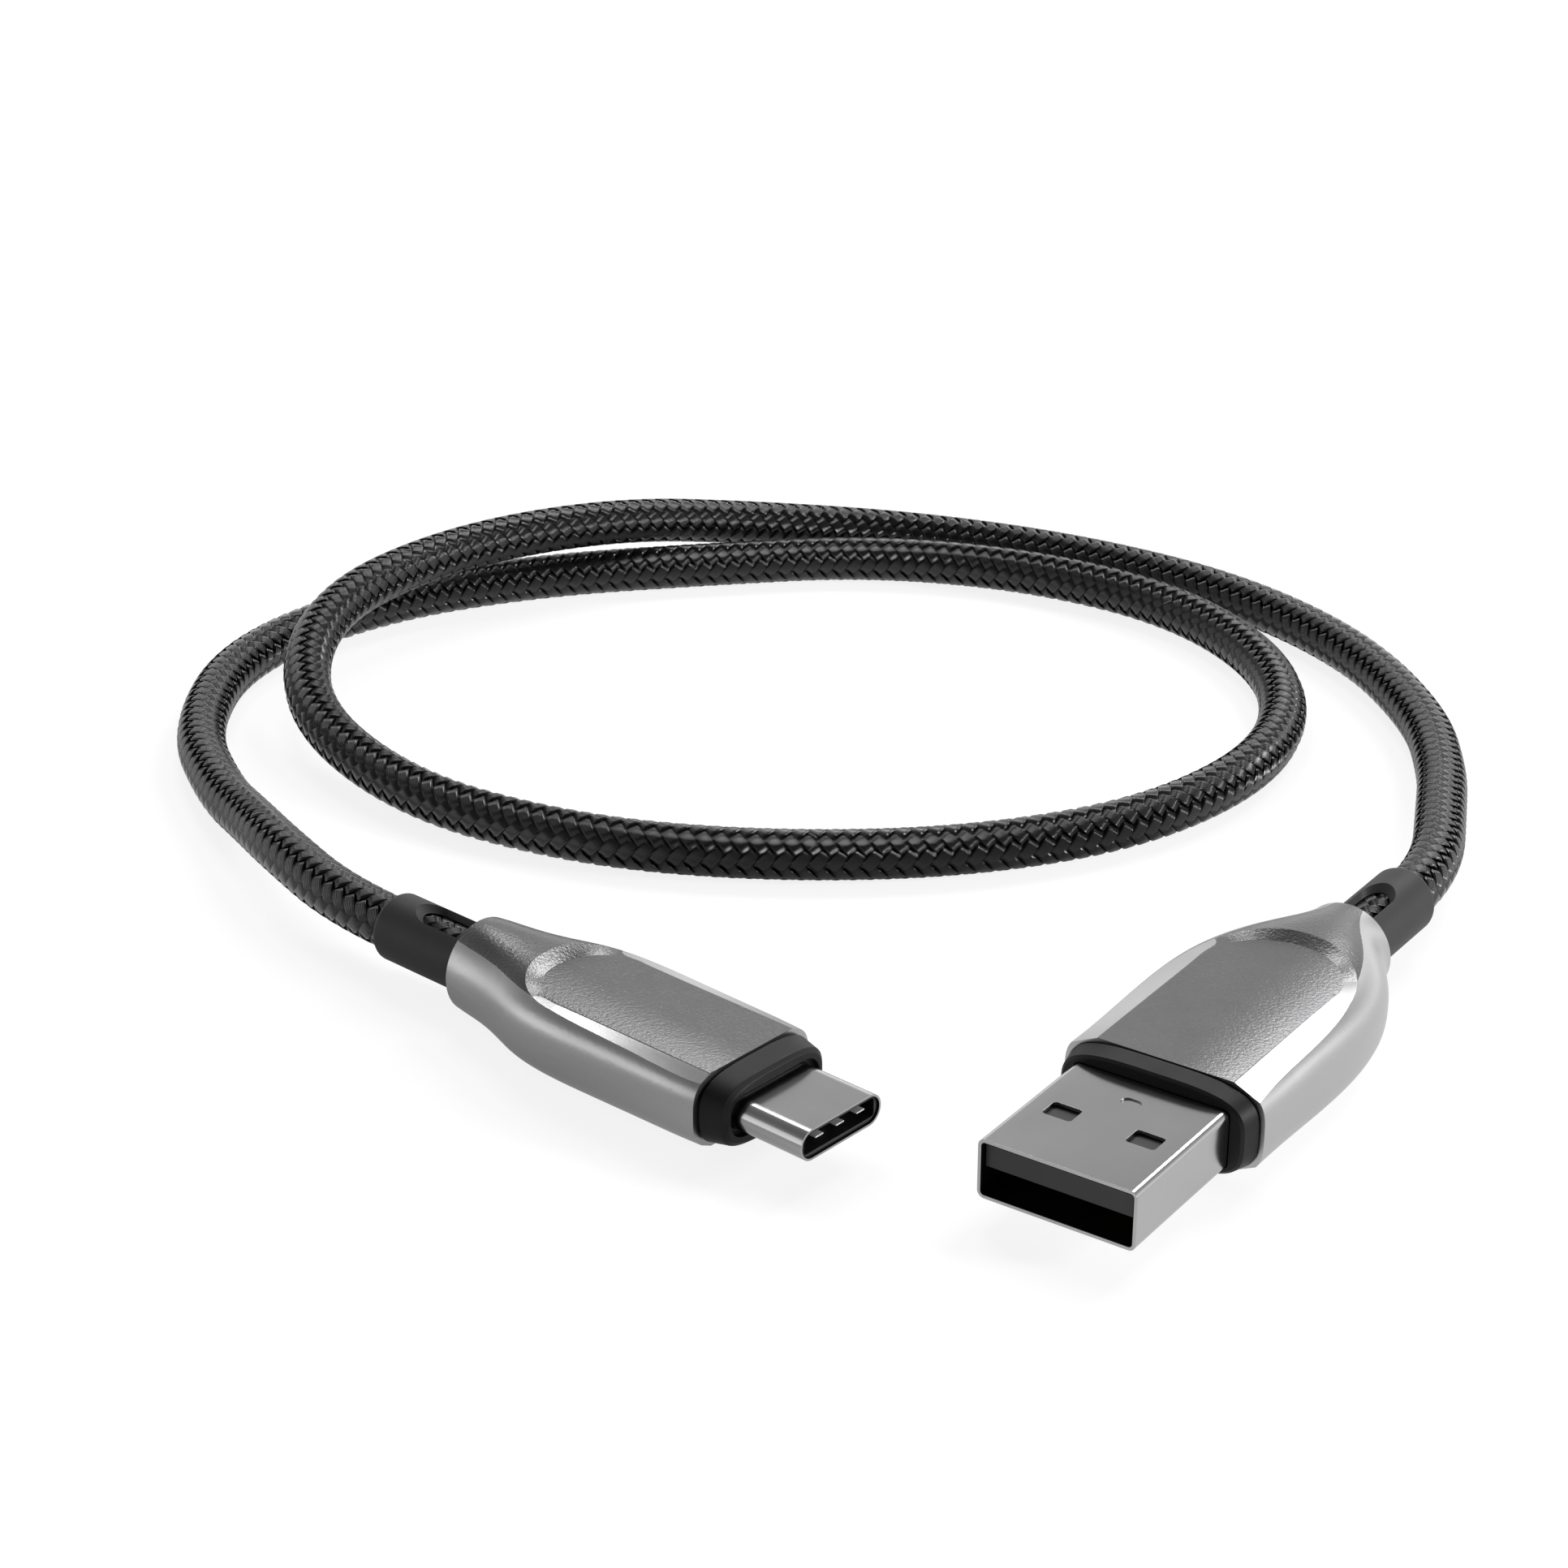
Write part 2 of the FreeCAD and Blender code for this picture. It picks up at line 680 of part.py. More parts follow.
# Four plated contacts under the tongue: power and ground reach further forward
thick = size("charger_contact_thickness")
contact_end = size("charger_shell_length") + size("charger_contact_tail")
charger_contacts = []
for name, across, setback in (
    ("contact_power", -size("charger_contact_outer"), size("charger_power_setback")),
    ("contact_data_minus", -size("charger_contact_inner"), size("charger_data_setback")),
    ("contact_data_plus", size("charger_contact_inner"), size("charger_data_setback")),
    ("contact_ground", size("charger_contact_outer"), size("charger_power_setback")),
):
    contact = new_body("charger", name)
    side = new_sketch(contact, "XZ_Plane", "side", out=-across)
    crown = size("charger_contact_crown")
    polygon(side, [
        (setback, tongue_face),
        (setback, tongue_face - thick),
        (setback + 1.2, tongue_face - thick - crown),
        (setback + 2.4, tongue_face - thick - crown),
        (setback + 4.2, tongue_face - thick),
        (contact_end, tongue_face - thick),
        (contact_end, tongue_face),
    ])
    pad(contact, side, size("charger_contact_width"), "Symmetric")
    charger_contacts.append(contact)

# The slim connector's shell: one seamless drawn tube with round ends
shell = new_body("phone", "shell")
wall = size("phone_shell_wall")
width, height = size("phone_shell_width"), size("phone_shell_height")
outline = new_sketch(shell, "YZ_Plane", "outline")
long_round(outline, width, height)
pad(shell, outline, size("phone_shell_length"))
inside = new_sketch(shell, "YZ_Plane", "inside")
long_round(inside, width - wall * 2, height - wall * 2)
pocket(shell, inside, size("phone_shell_length"), back=True)
phone_shell = shell

# Its insulator: a sleeve with the slot that the phone's own tongue enters
insulator = new_body("phone", "insulator")
outline = new_sketch(insulator, "YZ_Plane", "outline", out=size("phone_insulator_setback"))
long_round(outline, width - wall * 2 - gap * 2, height - wall * 2 - gap * 2)
insulator_length = size("phone_shell_length") - size("phone_insulator_setback")
pad(insulator, outline, insulator_length)
slot = new_sketch(insulator, "YZ_Plane", "slot", out=size("phone_insulator_setback"))
long_round(slot, size("phone_slot_width"), size("phone_slot_height"))
pocket(insulator, slot, size("phone_slot_depth"), back=True)
phone_insulator = insulator

# Twelve spring contacts above and twelve below, soldered to the board's two faces
board_half = size("phone_board_thickness") / 2
thick = size("phone_contact_thickness")
pitch = size("phone_contact_pitch")
CONTACTS_PER_ROW = 12
phone_rows = []
for name, way in (("upper_contacts", 1), ("lower_contacts", -1)):
    contacts = new_body("phone", name)
    first = pitch * ((CONTACTS_PER_ROW - 1) / 2)
    side = new_sketch(contacts, "XZ_Plane", "side", out=first)
    setback = size("phone_contact_setback")
    near, far = board_half * way, (board_half + thick) * way
    tail_end = size("phone_shell_length") + size("phone_contact_tail")
    polygon(side, [
        (setback, far),
        (setback, near),
        (tail_end, near),
        (tail_end, far),
    ])
    strip = pad(contacts, side, size("phone_contact_width"), "Symmetric")
    row(contacts, strip, "Y_Axis", CONTACTS_PER_ROW, pitch)
    phone_rows.append(contacts)

# Two grounding springs, above and below the slot's mouth, with three fingers each
spring_thick = size("phone_spring_thickness")
ceiling = size("phone_slot_height") / 2
strip_length = size("phone_spring_finger_width")
phone_springs = []
for name, way in (("upper_spring", 1), ("lower_spring", -1)):
    spring = new_body("phone", name)
    strip = new_sketch(
        spring,
        "YZ_Plane",
        "strip",
        up=(ceiling - spring_thick / 2) * way,
        out=size("phone_spring_setback"),
    )
    rectangle(strip, size("phone_spring_finger_pitch") * 3 - 0.3, spring_thick)
    pad(spring, strip, strip_length)
    side = new_sketch(spring, "XZ_Plane", "finger", out=size("phone_spring_finger_pitch"))
    root = size("phone_spring_setback") + strip_length - 0.1
    tip = root + size("phone_spring_finger_length")
    top, under = ceiling * way, (ceiling - spring_thick) * way
    drop = size("phone_spring_thickness") * 1.5 * way
    polygon(side, [(root, top), (root, under), (tip, under - drop), (tip, top - drop)])
    finger = pad(spring, side, size("phone_spring_finger_width"), "Symmetric")
    row(spring, finger, "Y_Axis", 3, size("phone_spring_finger_pitch"))
    phone_springs.append(spring)

# The side latch: one stamped fork whose two arms grip the phone's tongue
latch = new_body("phone", "side_latch")
plan = new_sketch(latch, "XY_Plane", "plan")
reach = size("phone_slot_width") / 2 - gap
inner = reach - size("phone_latch_arm")
front, back = size("phone_latch_setback"), size("phone_shell_length") - gap
bar = back - size("phone_latch_arm") * 2
polygon(plan, [
    (front, reach), (front, inner), (bar, inner), (bar, -inner),
    (front, -inner), (front, -reach), (back, -reach), (back, reach),
])
pad(latch, plan, size("phone_latch_thickness"), "Symmetric")
phone_latch = latch

# The small circuit board behind the slim connector, and its pull-up resistor
board = new_body("phone", "circuit_board")
outline = new_sketch(board, "YZ_Plane", "outline", out=size("phone_shell_length"))
rectangle(outline, size("phone_board_width"), size("phone_board_thickness"))
pad(board, outline, size("phone_board_length"))
phone_board = board
resistor = new_body("phone", "resistor")
outline = new_sketch(
    resistor,
    "XY_Plane",
    "outline",
    right=size("phone_shell_length") + size("phone_contact_tail") + size("phone_resistor_length") * 1.2,
    out=board_half,
)
rectangle(outline, size("phone_resistor_width"), size("phone_resistor_length"))
pad(resistor, outline, size("phone_resistor_height"))
phone_resistor = resistor
doc.recompute()


# What both plugs hold behind their connectors
cord_radius = size("cord_diameter") / 2
for plug in ("charger", "phone"):
    rim = Size(rim_along(plug), " + ".join(
        "sizes.%s_%s" % (plug, part)
        for part in ("exposed", "nose_length", "ring_length", "groove", "housing_length")
    ))
    rim = Size(rim.value, "(%s)" % rim.text)
    bore_start = rim - size("boot_tail")
    crimp_start = bore_start - size("crimp_length")
    cord_start = crimp_start - 0.4
    boot_end = rim + size("%s_boot_reach" % plug)

    # The end of the braided cord that the plug grips
    cord_end = new_body(plug, "cord_end")
    outline = new_sketch(cord_end, "YZ_Plane", "outline", out=cord_start)
    circle(outline, cord_radius)
    pad(cord_end, outline, boot_end - cord_start)

    # The crimped ferrule that holds the braid and takes the pull
    crimp = new_body(plug, "crimp")
    outline = new_sketch(crimp, "YZ_Plane", "outline", out=crimp_start)
    circle(outline, cord_radius + size("crimp_wall"))
    pad(crimp, outline, size("crimp_length"))
    hole = new_sketch(crimp, "YZ_Plane", "hole", out=crimp_start)
    circle(hole, cord_radius)
    pocket(crimp, hole, size("crimp_length"), back=True)

    # The strain relief: a tube from the neck's bore, with a funnel-shaped window
    boot = new_body(plug, "boot")
    half = new_sketch(boot, "XZ_Plane", "half_section")
    bore_radius = cord_radius + gap
    polygon(half, [
        (bore_start + gap, bore_radius),
        (boot_end, bore_radius),
        (boot_end, size("boot_radius")),
        (bore_start + gap, size("boot_radius")),
    ])
    turned = boot.newObject("PartDesign::Revolution", "Turned")
    turned.Profile = half
    turned.ReferenceAxis = ([f for f in boot.Origin.OriginFeatures if f.Role == "X_Axis"][0], [""])
    turned.Angle = 360
    boot.Tip = turned
    doc.recompute()
    outer_edges = []
    for i, edge in enumerate(boot.Shape.Edges, start=1):
        at_end = edge.BoundBox.XMin > boot_end.value - 0.01
        if at_end and edge.BoundBox.ZMax > plain(size("boot_radius")) - 0.01:
            outer_edges.append("Edge%d" % i)
    rounding = boot.newObject("PartDesign::Fillet", "Rounding")
    rounding.Base = (turned, outer_edges)
    rounding.setExpression("Radius", "sizes.boot_round")
    boot.Tip = rounding
    window_start = rim + size("boot_window_start")
    inner_door = new_sketch(boot, "XY_Plane", "inner_door", right=window_start, out=size("boot_window_depth"))
    tombstone(inner_door, size("boot_window_length"), size("boot_window_half_width"))
    outer_door = new_sketch(boot, "XY_Plane", "outer_door", right=window_start, out=size("boot_radius") + gap)
    tombstone(outer_door, size("boot_scoop_length"), size("boot_scoop_half_width"))
    funnel = boot.newObject("PartDesign::SubtractiveLoft", "Funnel")
    funnel.Profile = inner_door
    funnel.Sections = [outer_door]
    boot.Tip = funnel
doc.recompute()


def part_named(plug, name):
    return [p for p in pieces[plug] if p.Label == "%s_plug_%s" % (plug, name)][0]


# Four insulated wires run to the cord's jacket, from the ends of the wide
# connector's contacts and from the end of the slim connector's board
def wires(plug, start, level, outer, inner):
    front = part_named(plug, "cord_end").Shape.BoundBox.XMin
    ring, radius = mm("wire_ring"), mm("wire_radius")
    lead = mm("wire_lead")
    names = ("power", "data_minus", "data_plus", "ground")
    spread = (-outer, -inner, inner, outer)
    ends = ((-ring, 0), (0, -ring), (0, ring), (ring, 0))
    for name, across, (end_across, end_level) in zip(names, spread, ends):
        points = [
            Vector(start, across, level),
            Vector(start + lead, across, level),
            Vector(front - lead, end_across, end_level),
            Vector(front, end_across, end_level),
        ]
        shaped(plug, "wire_%s" % name, tube(points, radius)[1])


contact_middle = tongue_face.value - mm("charger_contact_thickness") / 2
wires("charger", contact_end.value, contact_middle, mm("charger_contact_outer"), mm("charger_contact_inner"))
board_end = mm("phone_shell_length") + mm("phone_board_length")
wires("phone", board_end, 0, mm("phone_pad_outer"), mm("phone_pad_inner"))

# Slots in the two insulators and the latch's seat, cut by what passes through them
for plug, name, inserts in (
    ("charger", "insulator", charger_contacts),
    ("phone", "insulator", phone_rows + [phone_latch]),
):
    solid = part_named(plug, name)
    slotted = solid.Shape.cut(Part.makeCompound([insert.Shape for insert in inserts]))
    pieces[plug].remove(solid)
    solid.Label = "%s_%s_blank" % (plug, name)
    shaped(plug, name, slotted)

# The collar, housing and inner moulding of each plug
gap_mm = mm("fit_gap")
for plug in ("charger", "phone"):
    shell_solid = part_named(plug, "shell").Shape
    box = shell_solid.BoundBox
    if plug == "charger":
        corner = mm("charger_shell_corner")
        hole = Part.makeBox(box.XLength, box.YLength + 2 * gap_mm, box.ZLength + 2 * gap_mm)
        hole.translate(Vector(0, -box.YLength / 2 - gap_mm, -box.ZLength / 2 - gap_mm))
        long_edges = [e for e in hole.Edges if e.BoundBox.XLength > 1]
        hole = hole.makeFillet(corner + gap_mm, long_edges)
    else:
        def round_slot(margin, start, end):
            radius = box.ZLength / 2 + margin
            reach = box.YLength / 2 - box.ZLength / 2
            middle = Part.makeBox(end - start, 2 * reach, 2 * radius, Vector(start, -reach, -radius))
            left = Part.makeCylinder(radius, end - start, Vector(start, -reach, 0), Vector(1, 0, 0))
            right = Part.makeCylinder(radius, end - start, Vector(start, reach, 0), Vector(1, 0, 0))
            return middle.fuse(left).fuse(right).removeSplitter()

        nose_face = mm("phone_exposed")
        hole = round_slot(gap_mm, 0, box.XLength)
        hole = hole.fuse(round_slot(
            mm("phone_recess_margin"), nose_face - 0.5, nose_face + mm("phone_recess_depth")
        ))
    if plug == "charger":
        behind = hole
    else:
        behind = hole.fuse(phone_board.Shape)
        room = Part.makeBox(
            spigot_end(plug) - box.XMax + 0.1,
            mm("phone_board_width") + 2 * gap_mm,
            2.6,
            Vector(box.XMax, -mm("phone_board_width") / 2 - gap_mm, -1.3),
        )
        hole = hole.fuse(room)
    shaped(plug, "collar", collar(plug, hole))
    shaped(plug, "housing", housing(plug))
    start = spigot_end(plug) + gap_mm
    end = bore_along(plug) - 0.6
    filling = cavity(plug, gap_mm, start)
    reach = half_sizes(plug, "belly")[0]
    filling = filling.common(Part.makeBox(end - start, 2 * reach, 2 * reach, Vector(start, -reach, -reach)))
    kept = ("shell", "collar", "housing")
    inserts = [p.Shape for p in pieces[plug] if not p.Label.endswith(kept)]
    filling = filling.cut(behind).cut(Part.makeCompound(inserts))
    solids = sorted(filling.Solids, key=lambda s: s.Volume)
    shaped(plug, "inner_mould", solids[-1])

# Both plugs lie level on the table, each on its housing's lowest point
for plug in ("charger", "phone"):
    lowest = part_named(plug, "housing").Shape.optimalBoundingBox().ZMin
    spot = Vector(mm("%s_tip_x" % plug), mm("%s_tip_y" % plug), -lowest)
    laid = Placement(spot, Rotation(Vector(0, 0, 1), mm("%s_heading" % plug)))
    for piece in pieces[plug]:
        piece.Placement = laid
    pieces[plug][0].Document.recompute()

# The cord's route from the slim plug's boot to the wide plug's, as it lies:
# round the loop once, over itself at the left and home to the wide plug
REST = mm("cord_diameter") / 2


def boot_exit(plug):
    """Middle of the boot's open end, and the way that the cord leaves it."""
    piece = part_named(plug, "cord_end")
    way = piece.Placement.Rotation.multVec(Vector(1, 0, 0))
    return piece.Placement.multVec(Vector(rim_along(plug) + mm("%s_boot_reach" % plug), 0, 0)), way


phone_exit, phone_way = boot_exit("phone")
charger_exit, charger_way = boot_exit("charger")
route = [
    phone_exit,
    phone_exit + phone_way * 7.2,
    Vector(-48.6, 30.7, 3.4),
    Vector(-53.4, 39.9, 2.3),
    Vector(-57.4, 50.3, REST),
    Vector(-59.6, 62.3, REST),
    Vector(-57.2, 75.8, REST),
    Vector(-47.6, 86.4, REST),
    Vector(-33.1, 92.9, REST),
    Vector(-16.7, 96.3, REST),
    Vector(-0.9, 97.9, REST),
    Vector(15.5, 93.9, REST),
    Vector(28.5, 84.1, REST),
    Vector(35.0, 68.2, REST),
    Vector(32.2, 52.3, REST),
    Vector(21.1, 40.1, REST),
    Vector(6.0, 34.1, REST),
    Vector(-10.8, 33.2, REST),
    Vector(-26.2, 36.2, REST),
    Vector(-41.4, 45.6, REST),
    Vector(-50.9, 59.3, 3.8),
    Vector(-50.6, 74.1, 6.3),
    Vector(-41.6, 86.9, 6.9),
    Vector(-25.8, 95.4, 6.9),
    Vector(-12.2, 102.2, 4.2),
    Vector(4.2, 104.2, REST),
    Vector(19.4, 98.1, REST),
    Vector(32.9, 88.4, REST),
    Vector(42.0, 75.4, REST),
    Vector(45.9, 61.3, REST),
    Vector(46.1, 48.8, 2.5),
    Vector(44.9, 38.1, 3.6),
    charger_exit + charger_way * 8.5,
    charger_exit,
]
radii = []
path, cord_shape = tube(route, REST, radii)
cord = doc.addObject("Part::Feature", "braided_cord")
cord.Label = "braided_cord"
cord.Shape = cord_shape
doc.recompute()
print("cord length %.1f" % path.Length)
print("cord arc radii %s" % " ".join("%.0f" % r for r in radii))
print("cord volume over section times length %.4f" % (cord_shape.Volume / (math.pi * REST ** 2 * path.Length)))

# Nothing is written unless every object came out sound
sub_parts = pieces["charger"] + pieces["phone"] + [cord]
for thing in doc.Objects:
    if "Invalid" in thing.State or "Error" in thing.State:
        raise RuntimeError("%s failed" % thing.Name)
for piece in sub_parts:
    if piece.Shape.isNull() or not piece.Shape.isValid() or not piece.Shape.Solids:
        raise RuntimeError("%s has no sound shape" % piece.Label)
for piece in sub_parts:
    piece.Shape.exportStep("parts/%s.step" % piece.Label)
print("wrote %d sub-parts" % len(sub_parts))
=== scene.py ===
import bmesh
import bpy
import json
import math
import numpy as np
from mathutils import Matrix, Vector


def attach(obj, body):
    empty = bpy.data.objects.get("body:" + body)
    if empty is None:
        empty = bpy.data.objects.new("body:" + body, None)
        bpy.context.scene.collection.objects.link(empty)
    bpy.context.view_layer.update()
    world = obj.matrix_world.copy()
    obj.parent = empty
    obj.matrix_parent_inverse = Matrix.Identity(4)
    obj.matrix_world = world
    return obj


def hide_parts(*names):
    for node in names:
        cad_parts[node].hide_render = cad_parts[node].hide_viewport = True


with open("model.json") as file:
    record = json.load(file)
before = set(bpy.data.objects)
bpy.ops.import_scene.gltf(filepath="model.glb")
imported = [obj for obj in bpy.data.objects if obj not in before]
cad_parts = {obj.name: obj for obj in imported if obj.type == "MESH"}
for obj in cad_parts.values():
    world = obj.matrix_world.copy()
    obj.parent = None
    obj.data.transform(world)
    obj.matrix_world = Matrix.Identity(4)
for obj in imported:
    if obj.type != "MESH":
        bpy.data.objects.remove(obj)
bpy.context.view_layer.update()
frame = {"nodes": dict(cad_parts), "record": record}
nodes = frame["nodes"]


# The camera stands in front of both plugs, a little left of the middle, and looks
# down on them. Its place, tilt and lens follow from the connectors' real sizes.
CAMERA_PLACE = (-0.00925, -0.21245, 0.1242)
CAMERA_TILT = 64.765
CAMERA_LENS = 79.697
CAMERA_SENSOR = 36.0
CAMERA_NEAR = 0.01

camera_data = bpy.data.cameras.new("camera")
camera_data.lens = CAMERA_LENS
camera_data.sensor_width = CAMERA_SENSOR
camera_data.clip_start = CAMERA_NEAR
camera = bpy.data.objects.new("camera", camera_data)
camera.location = CAMERA_PLACE
camera.rotation_euler = (math.radians(CAMERA_TILT), 0, 0)
bpy.context.scene.collection.objects.link(camera)
bpy.context.scene.camera = camera
bpy.context.scene.view_settings.view_transform = "Standard"


# The cord: stranded wires in a jacket and a braid, one length from the slim plug, for
# the phone, round a loose double loop to the wide plug, for the charger. It lies on
# the floor, passes over itself in a long low hump, and rises a little into both boots.
CORD_DIAMETER = 0.0041
PHONE_EXIT = Vector((-0.03824, 0.01836, 0.003708))
PHONE_HEADING = 138.2
CHARGER_EXIT = Vector((0.03781, 0.02216, 0.004029))
CHARGER_HEADING = 55.1
ON_FLOOR = CORD_DIAMETER / 2

ROUTE = [
    PHONE_EXIT,
    (-0.04295, 0.02255, 0.0037),
    (-0.04875, 0.03135, 0.0038),
    (-0.05215, 0.03875, 0.0027),
    (-0.05545, 0.04505, ON_FLOOR),
    (-0.05965, 0.05715, ON_FLOOR),
    (-0.05825, 0.07345, ON_FLOOR),
    (-0.04745, 0.08615, ON_FLOOR),
    (-0.03295, 0.09285, ON_FLOOR),
    (-0.01655, 0.09585, ON_FLOOR),
    (-0.00085, 0.09805, ON_FLOOR),
    (0.01545, 0.09385, ON_FLOOR),
    (0.02855, 0.08405, ON_FLOOR),
    (0.03505, 0.06835, ON_FLOOR),
    (0.03225, 0.05245, ON_FLOOR),
    (0.02105, 0.04005, ON_FLOOR),
    (0.00595, 0.03415, ON_FLOOR),
    (-0.01065, 0.03325, ON_FLOOR),
    (-0.02625, 0.03635, ON_FLOOR),
    (-0.04095, 0.04525, ON_FLOOR),
    (-0.05085, 0.05895, 0.0038),
    (-0.05055, 0.07425, 0.0064),
    (-0.04055, 0.08735, 0.0070),
    (-0.02545, 0.09565, 0.0068),
    (-0.01145, 0.10195, 0.0040),
    (0.00435, 0.10405, ON_FLOOR),
    (0.01945, 0.09795, ON_FLOOR),
    (0.03275, 0.08845, ON_FLOOR),
    (0.04215, 0.07495, ON_FLOOR),
    (0.04595, 0.05945, ON_FLOOR),
    (0.04515, 0.04715, 0.0026),
    (0.04375, 0.03995, 0.0032),
    (0.04115, 0.02705, 0.0040),
    CHARGER_EXIT,
]


def route_curve(name, radius):
    """Open curve along the route, as smooth as the cord is, round if it has a radius."""
    data = bpy.data.curves.new(name, "CURVE")
    data.dimensions = "3D"
    data.resolution_u = 24
    spline = data.splines.new("NURBS")
    spline.points.add(len(ROUTE) - 1)
    for point, place in zip(spline.points, ROUTE):
        point.co = (*place, 1)
    spline.order_u = 3
    spline.use_endpoint_u = True
    data.bevel_depth = radius
    data.bevel_resolution = 6
    curve = bpy.data.objects.new(name, data)
    bpy.context.scene.collection.objects.link(curve)
    return curve


# The cord's line is read back from the smooth curve, and carried on in a straight
# line into each plug, up to the ferrule that grips it.
IN_PHONE_PLUG = 0.0165
IN_CHARGER_PLUG = 0.0171
LINE_STEP = 0.0002


def level_way(degrees):
    """Level direction at a heading, of length one."""
    angle = math.radians(degrees)
    return np.array((math.cos(angle), math.sin(angle), 0.0))


guide = route_curve("guide", 0.0)
guide_mesh = bpy.data.meshes.new_from_object(guide)
guide_points = np.array([vertex.co[:] for vertex in guide_mesh.vertices])
bpy.data.objects.remove(guide)
bpy.data.meshes.remove(guide_mesh)

line = np.vstack([
    guide_points[0] - level_way(PHONE_HEADING) * IN_PHONE_PLUG,
    guide_points,
    guide_points[-1] - level_way(CHARGER_HEADING) * IN_CHARGER_PLUG,
])
line_steps = np.linalg.norm(np.diff(line, axis=0), axis=1)
line_distances = np.concatenate([[0], np.cumsum(line_steps)])
line_end = line_distances[-1]
free_start = IN_PHONE_PLUG
free_end = line_end - IN_CHARGER_PLUG
stations = np.arange(0, line_end, LINE_STEP)
centres = np.column_stack([np.interp(stations, line_distances, line[:, axis]) for axis in range(3)])

# A side direction is carried along the line without turning about it.
ahead = np.gradient(centres, axis=0)
ahead /= np.linalg.norm(ahead, axis=1)[:, None]
sideways = np.zeros_like(centres)
side = np.cross(ahead[0], (0, 0, 1))
for number, way in enumerate(ahead):
    side = side - way * (side @ way)
    side = side / np.linalg.norm(side)
    sideways[number] = side
upward = np.cross(sideways, ahead)


def on_cord(distance, angle, radius):
    """Places on the cord: so far along it, at an angle round it, at a radius."""
    just_before_last = len(stations) - 1.001
    spot = np.clip(distance / LINE_STEP, 0, just_before_last)
    low = spot.astype(int)
    share = (spot - low)[..., None]
    centre = centres[low] * (1 - share) + centres[low + 1] * share
    side = sideways[low] * (1 - share) + sideways[low + 1] * share
    up = upward[low] * (1 - share) + upward[low + 1] * share
    round_way = np.cos(angle)[..., None] * side + np.sin(angle)[..., None] * up
    return centre + radius[..., None] * round_way


# The braid: black nylon yarns, wound over the jacket by a braiding machine, eight
# each way. Each passes over two and under two of the others, so that rows of
# chevrons run along the cord. It is modelled in six pieces and an end in each plug.
YARNS_EACH_WAY = 8
YARN_LEAD = 0.01086
YARN_HALF_WIDTH = 0.00052
YARN_THICKNESS = 0.00017
LOW_RADIUS = 0.0017
HIGH_RADIUS = 0.001975
YARN_MIDDLE = (LOW_RADIUS + HIGH_RADIUS) / 2
CORD_TWIST = -1.3
BRAID_PIECES = 6
BRAID_STOPS_SHORT = 0.0004
FILAMENTS = 8
FILAMENT_SLOPE = 0.5

# A yarn's floats repeat every four crossings. From a float's middle, counted in
# crossings, it starts to dip at the first value and is right down at the second.
FLOAT_REPEAT = 4
FLOAT_MIDDLES = {1: 0.5, -1: 2.5}
DIP_START = 0.4
DIP_END = 1.2
# The yarn is cut across at these places, in crossings from each float's middle. Most
# are where it dips under its neighbours, and those too near to its ends are left out.
FLOAT_PLACES = np.array([
    -2.0, -1.25, -1.07, -0.94, -0.81, -0.67, -0.5, -0.3,
    0.0, 0.3, 0.5, 0.67, 0.81, 0.94, 1.07, 1.25,
])
NEAR_END = 0.02
# The yarn's cross-section, in half widths across and thicknesses up.
YARN_PROFILE = [
    (-1.0, 0.0),
    (-0.94, 0.62),
    (-0.83, 0.93),
    (-0.55, 1.0),
    (0.55, 1.0),
    (0.83, 0.93),
    (0.94, 0.62),
    (1.0, 0.0),
]
YARN_END = np.array([(0, 1, 2, 3), (0, 3, 4, 7), (7, 4, 5, 6)])


def link(tree, source, target):
    tree.links.new(source, target)


def calculate(tree, operation, *values):
    """Math node on links and plain numbers."""
    node = tree.nodes.new("ShaderNodeMath")
    node.operation = operation
    for socket, value in zip(node.inputs, values):
        if isinstance(value, (int, float)):
            socket.default_value = value
        else:
            link(tree, value, socket)
    return node.outputs[0]


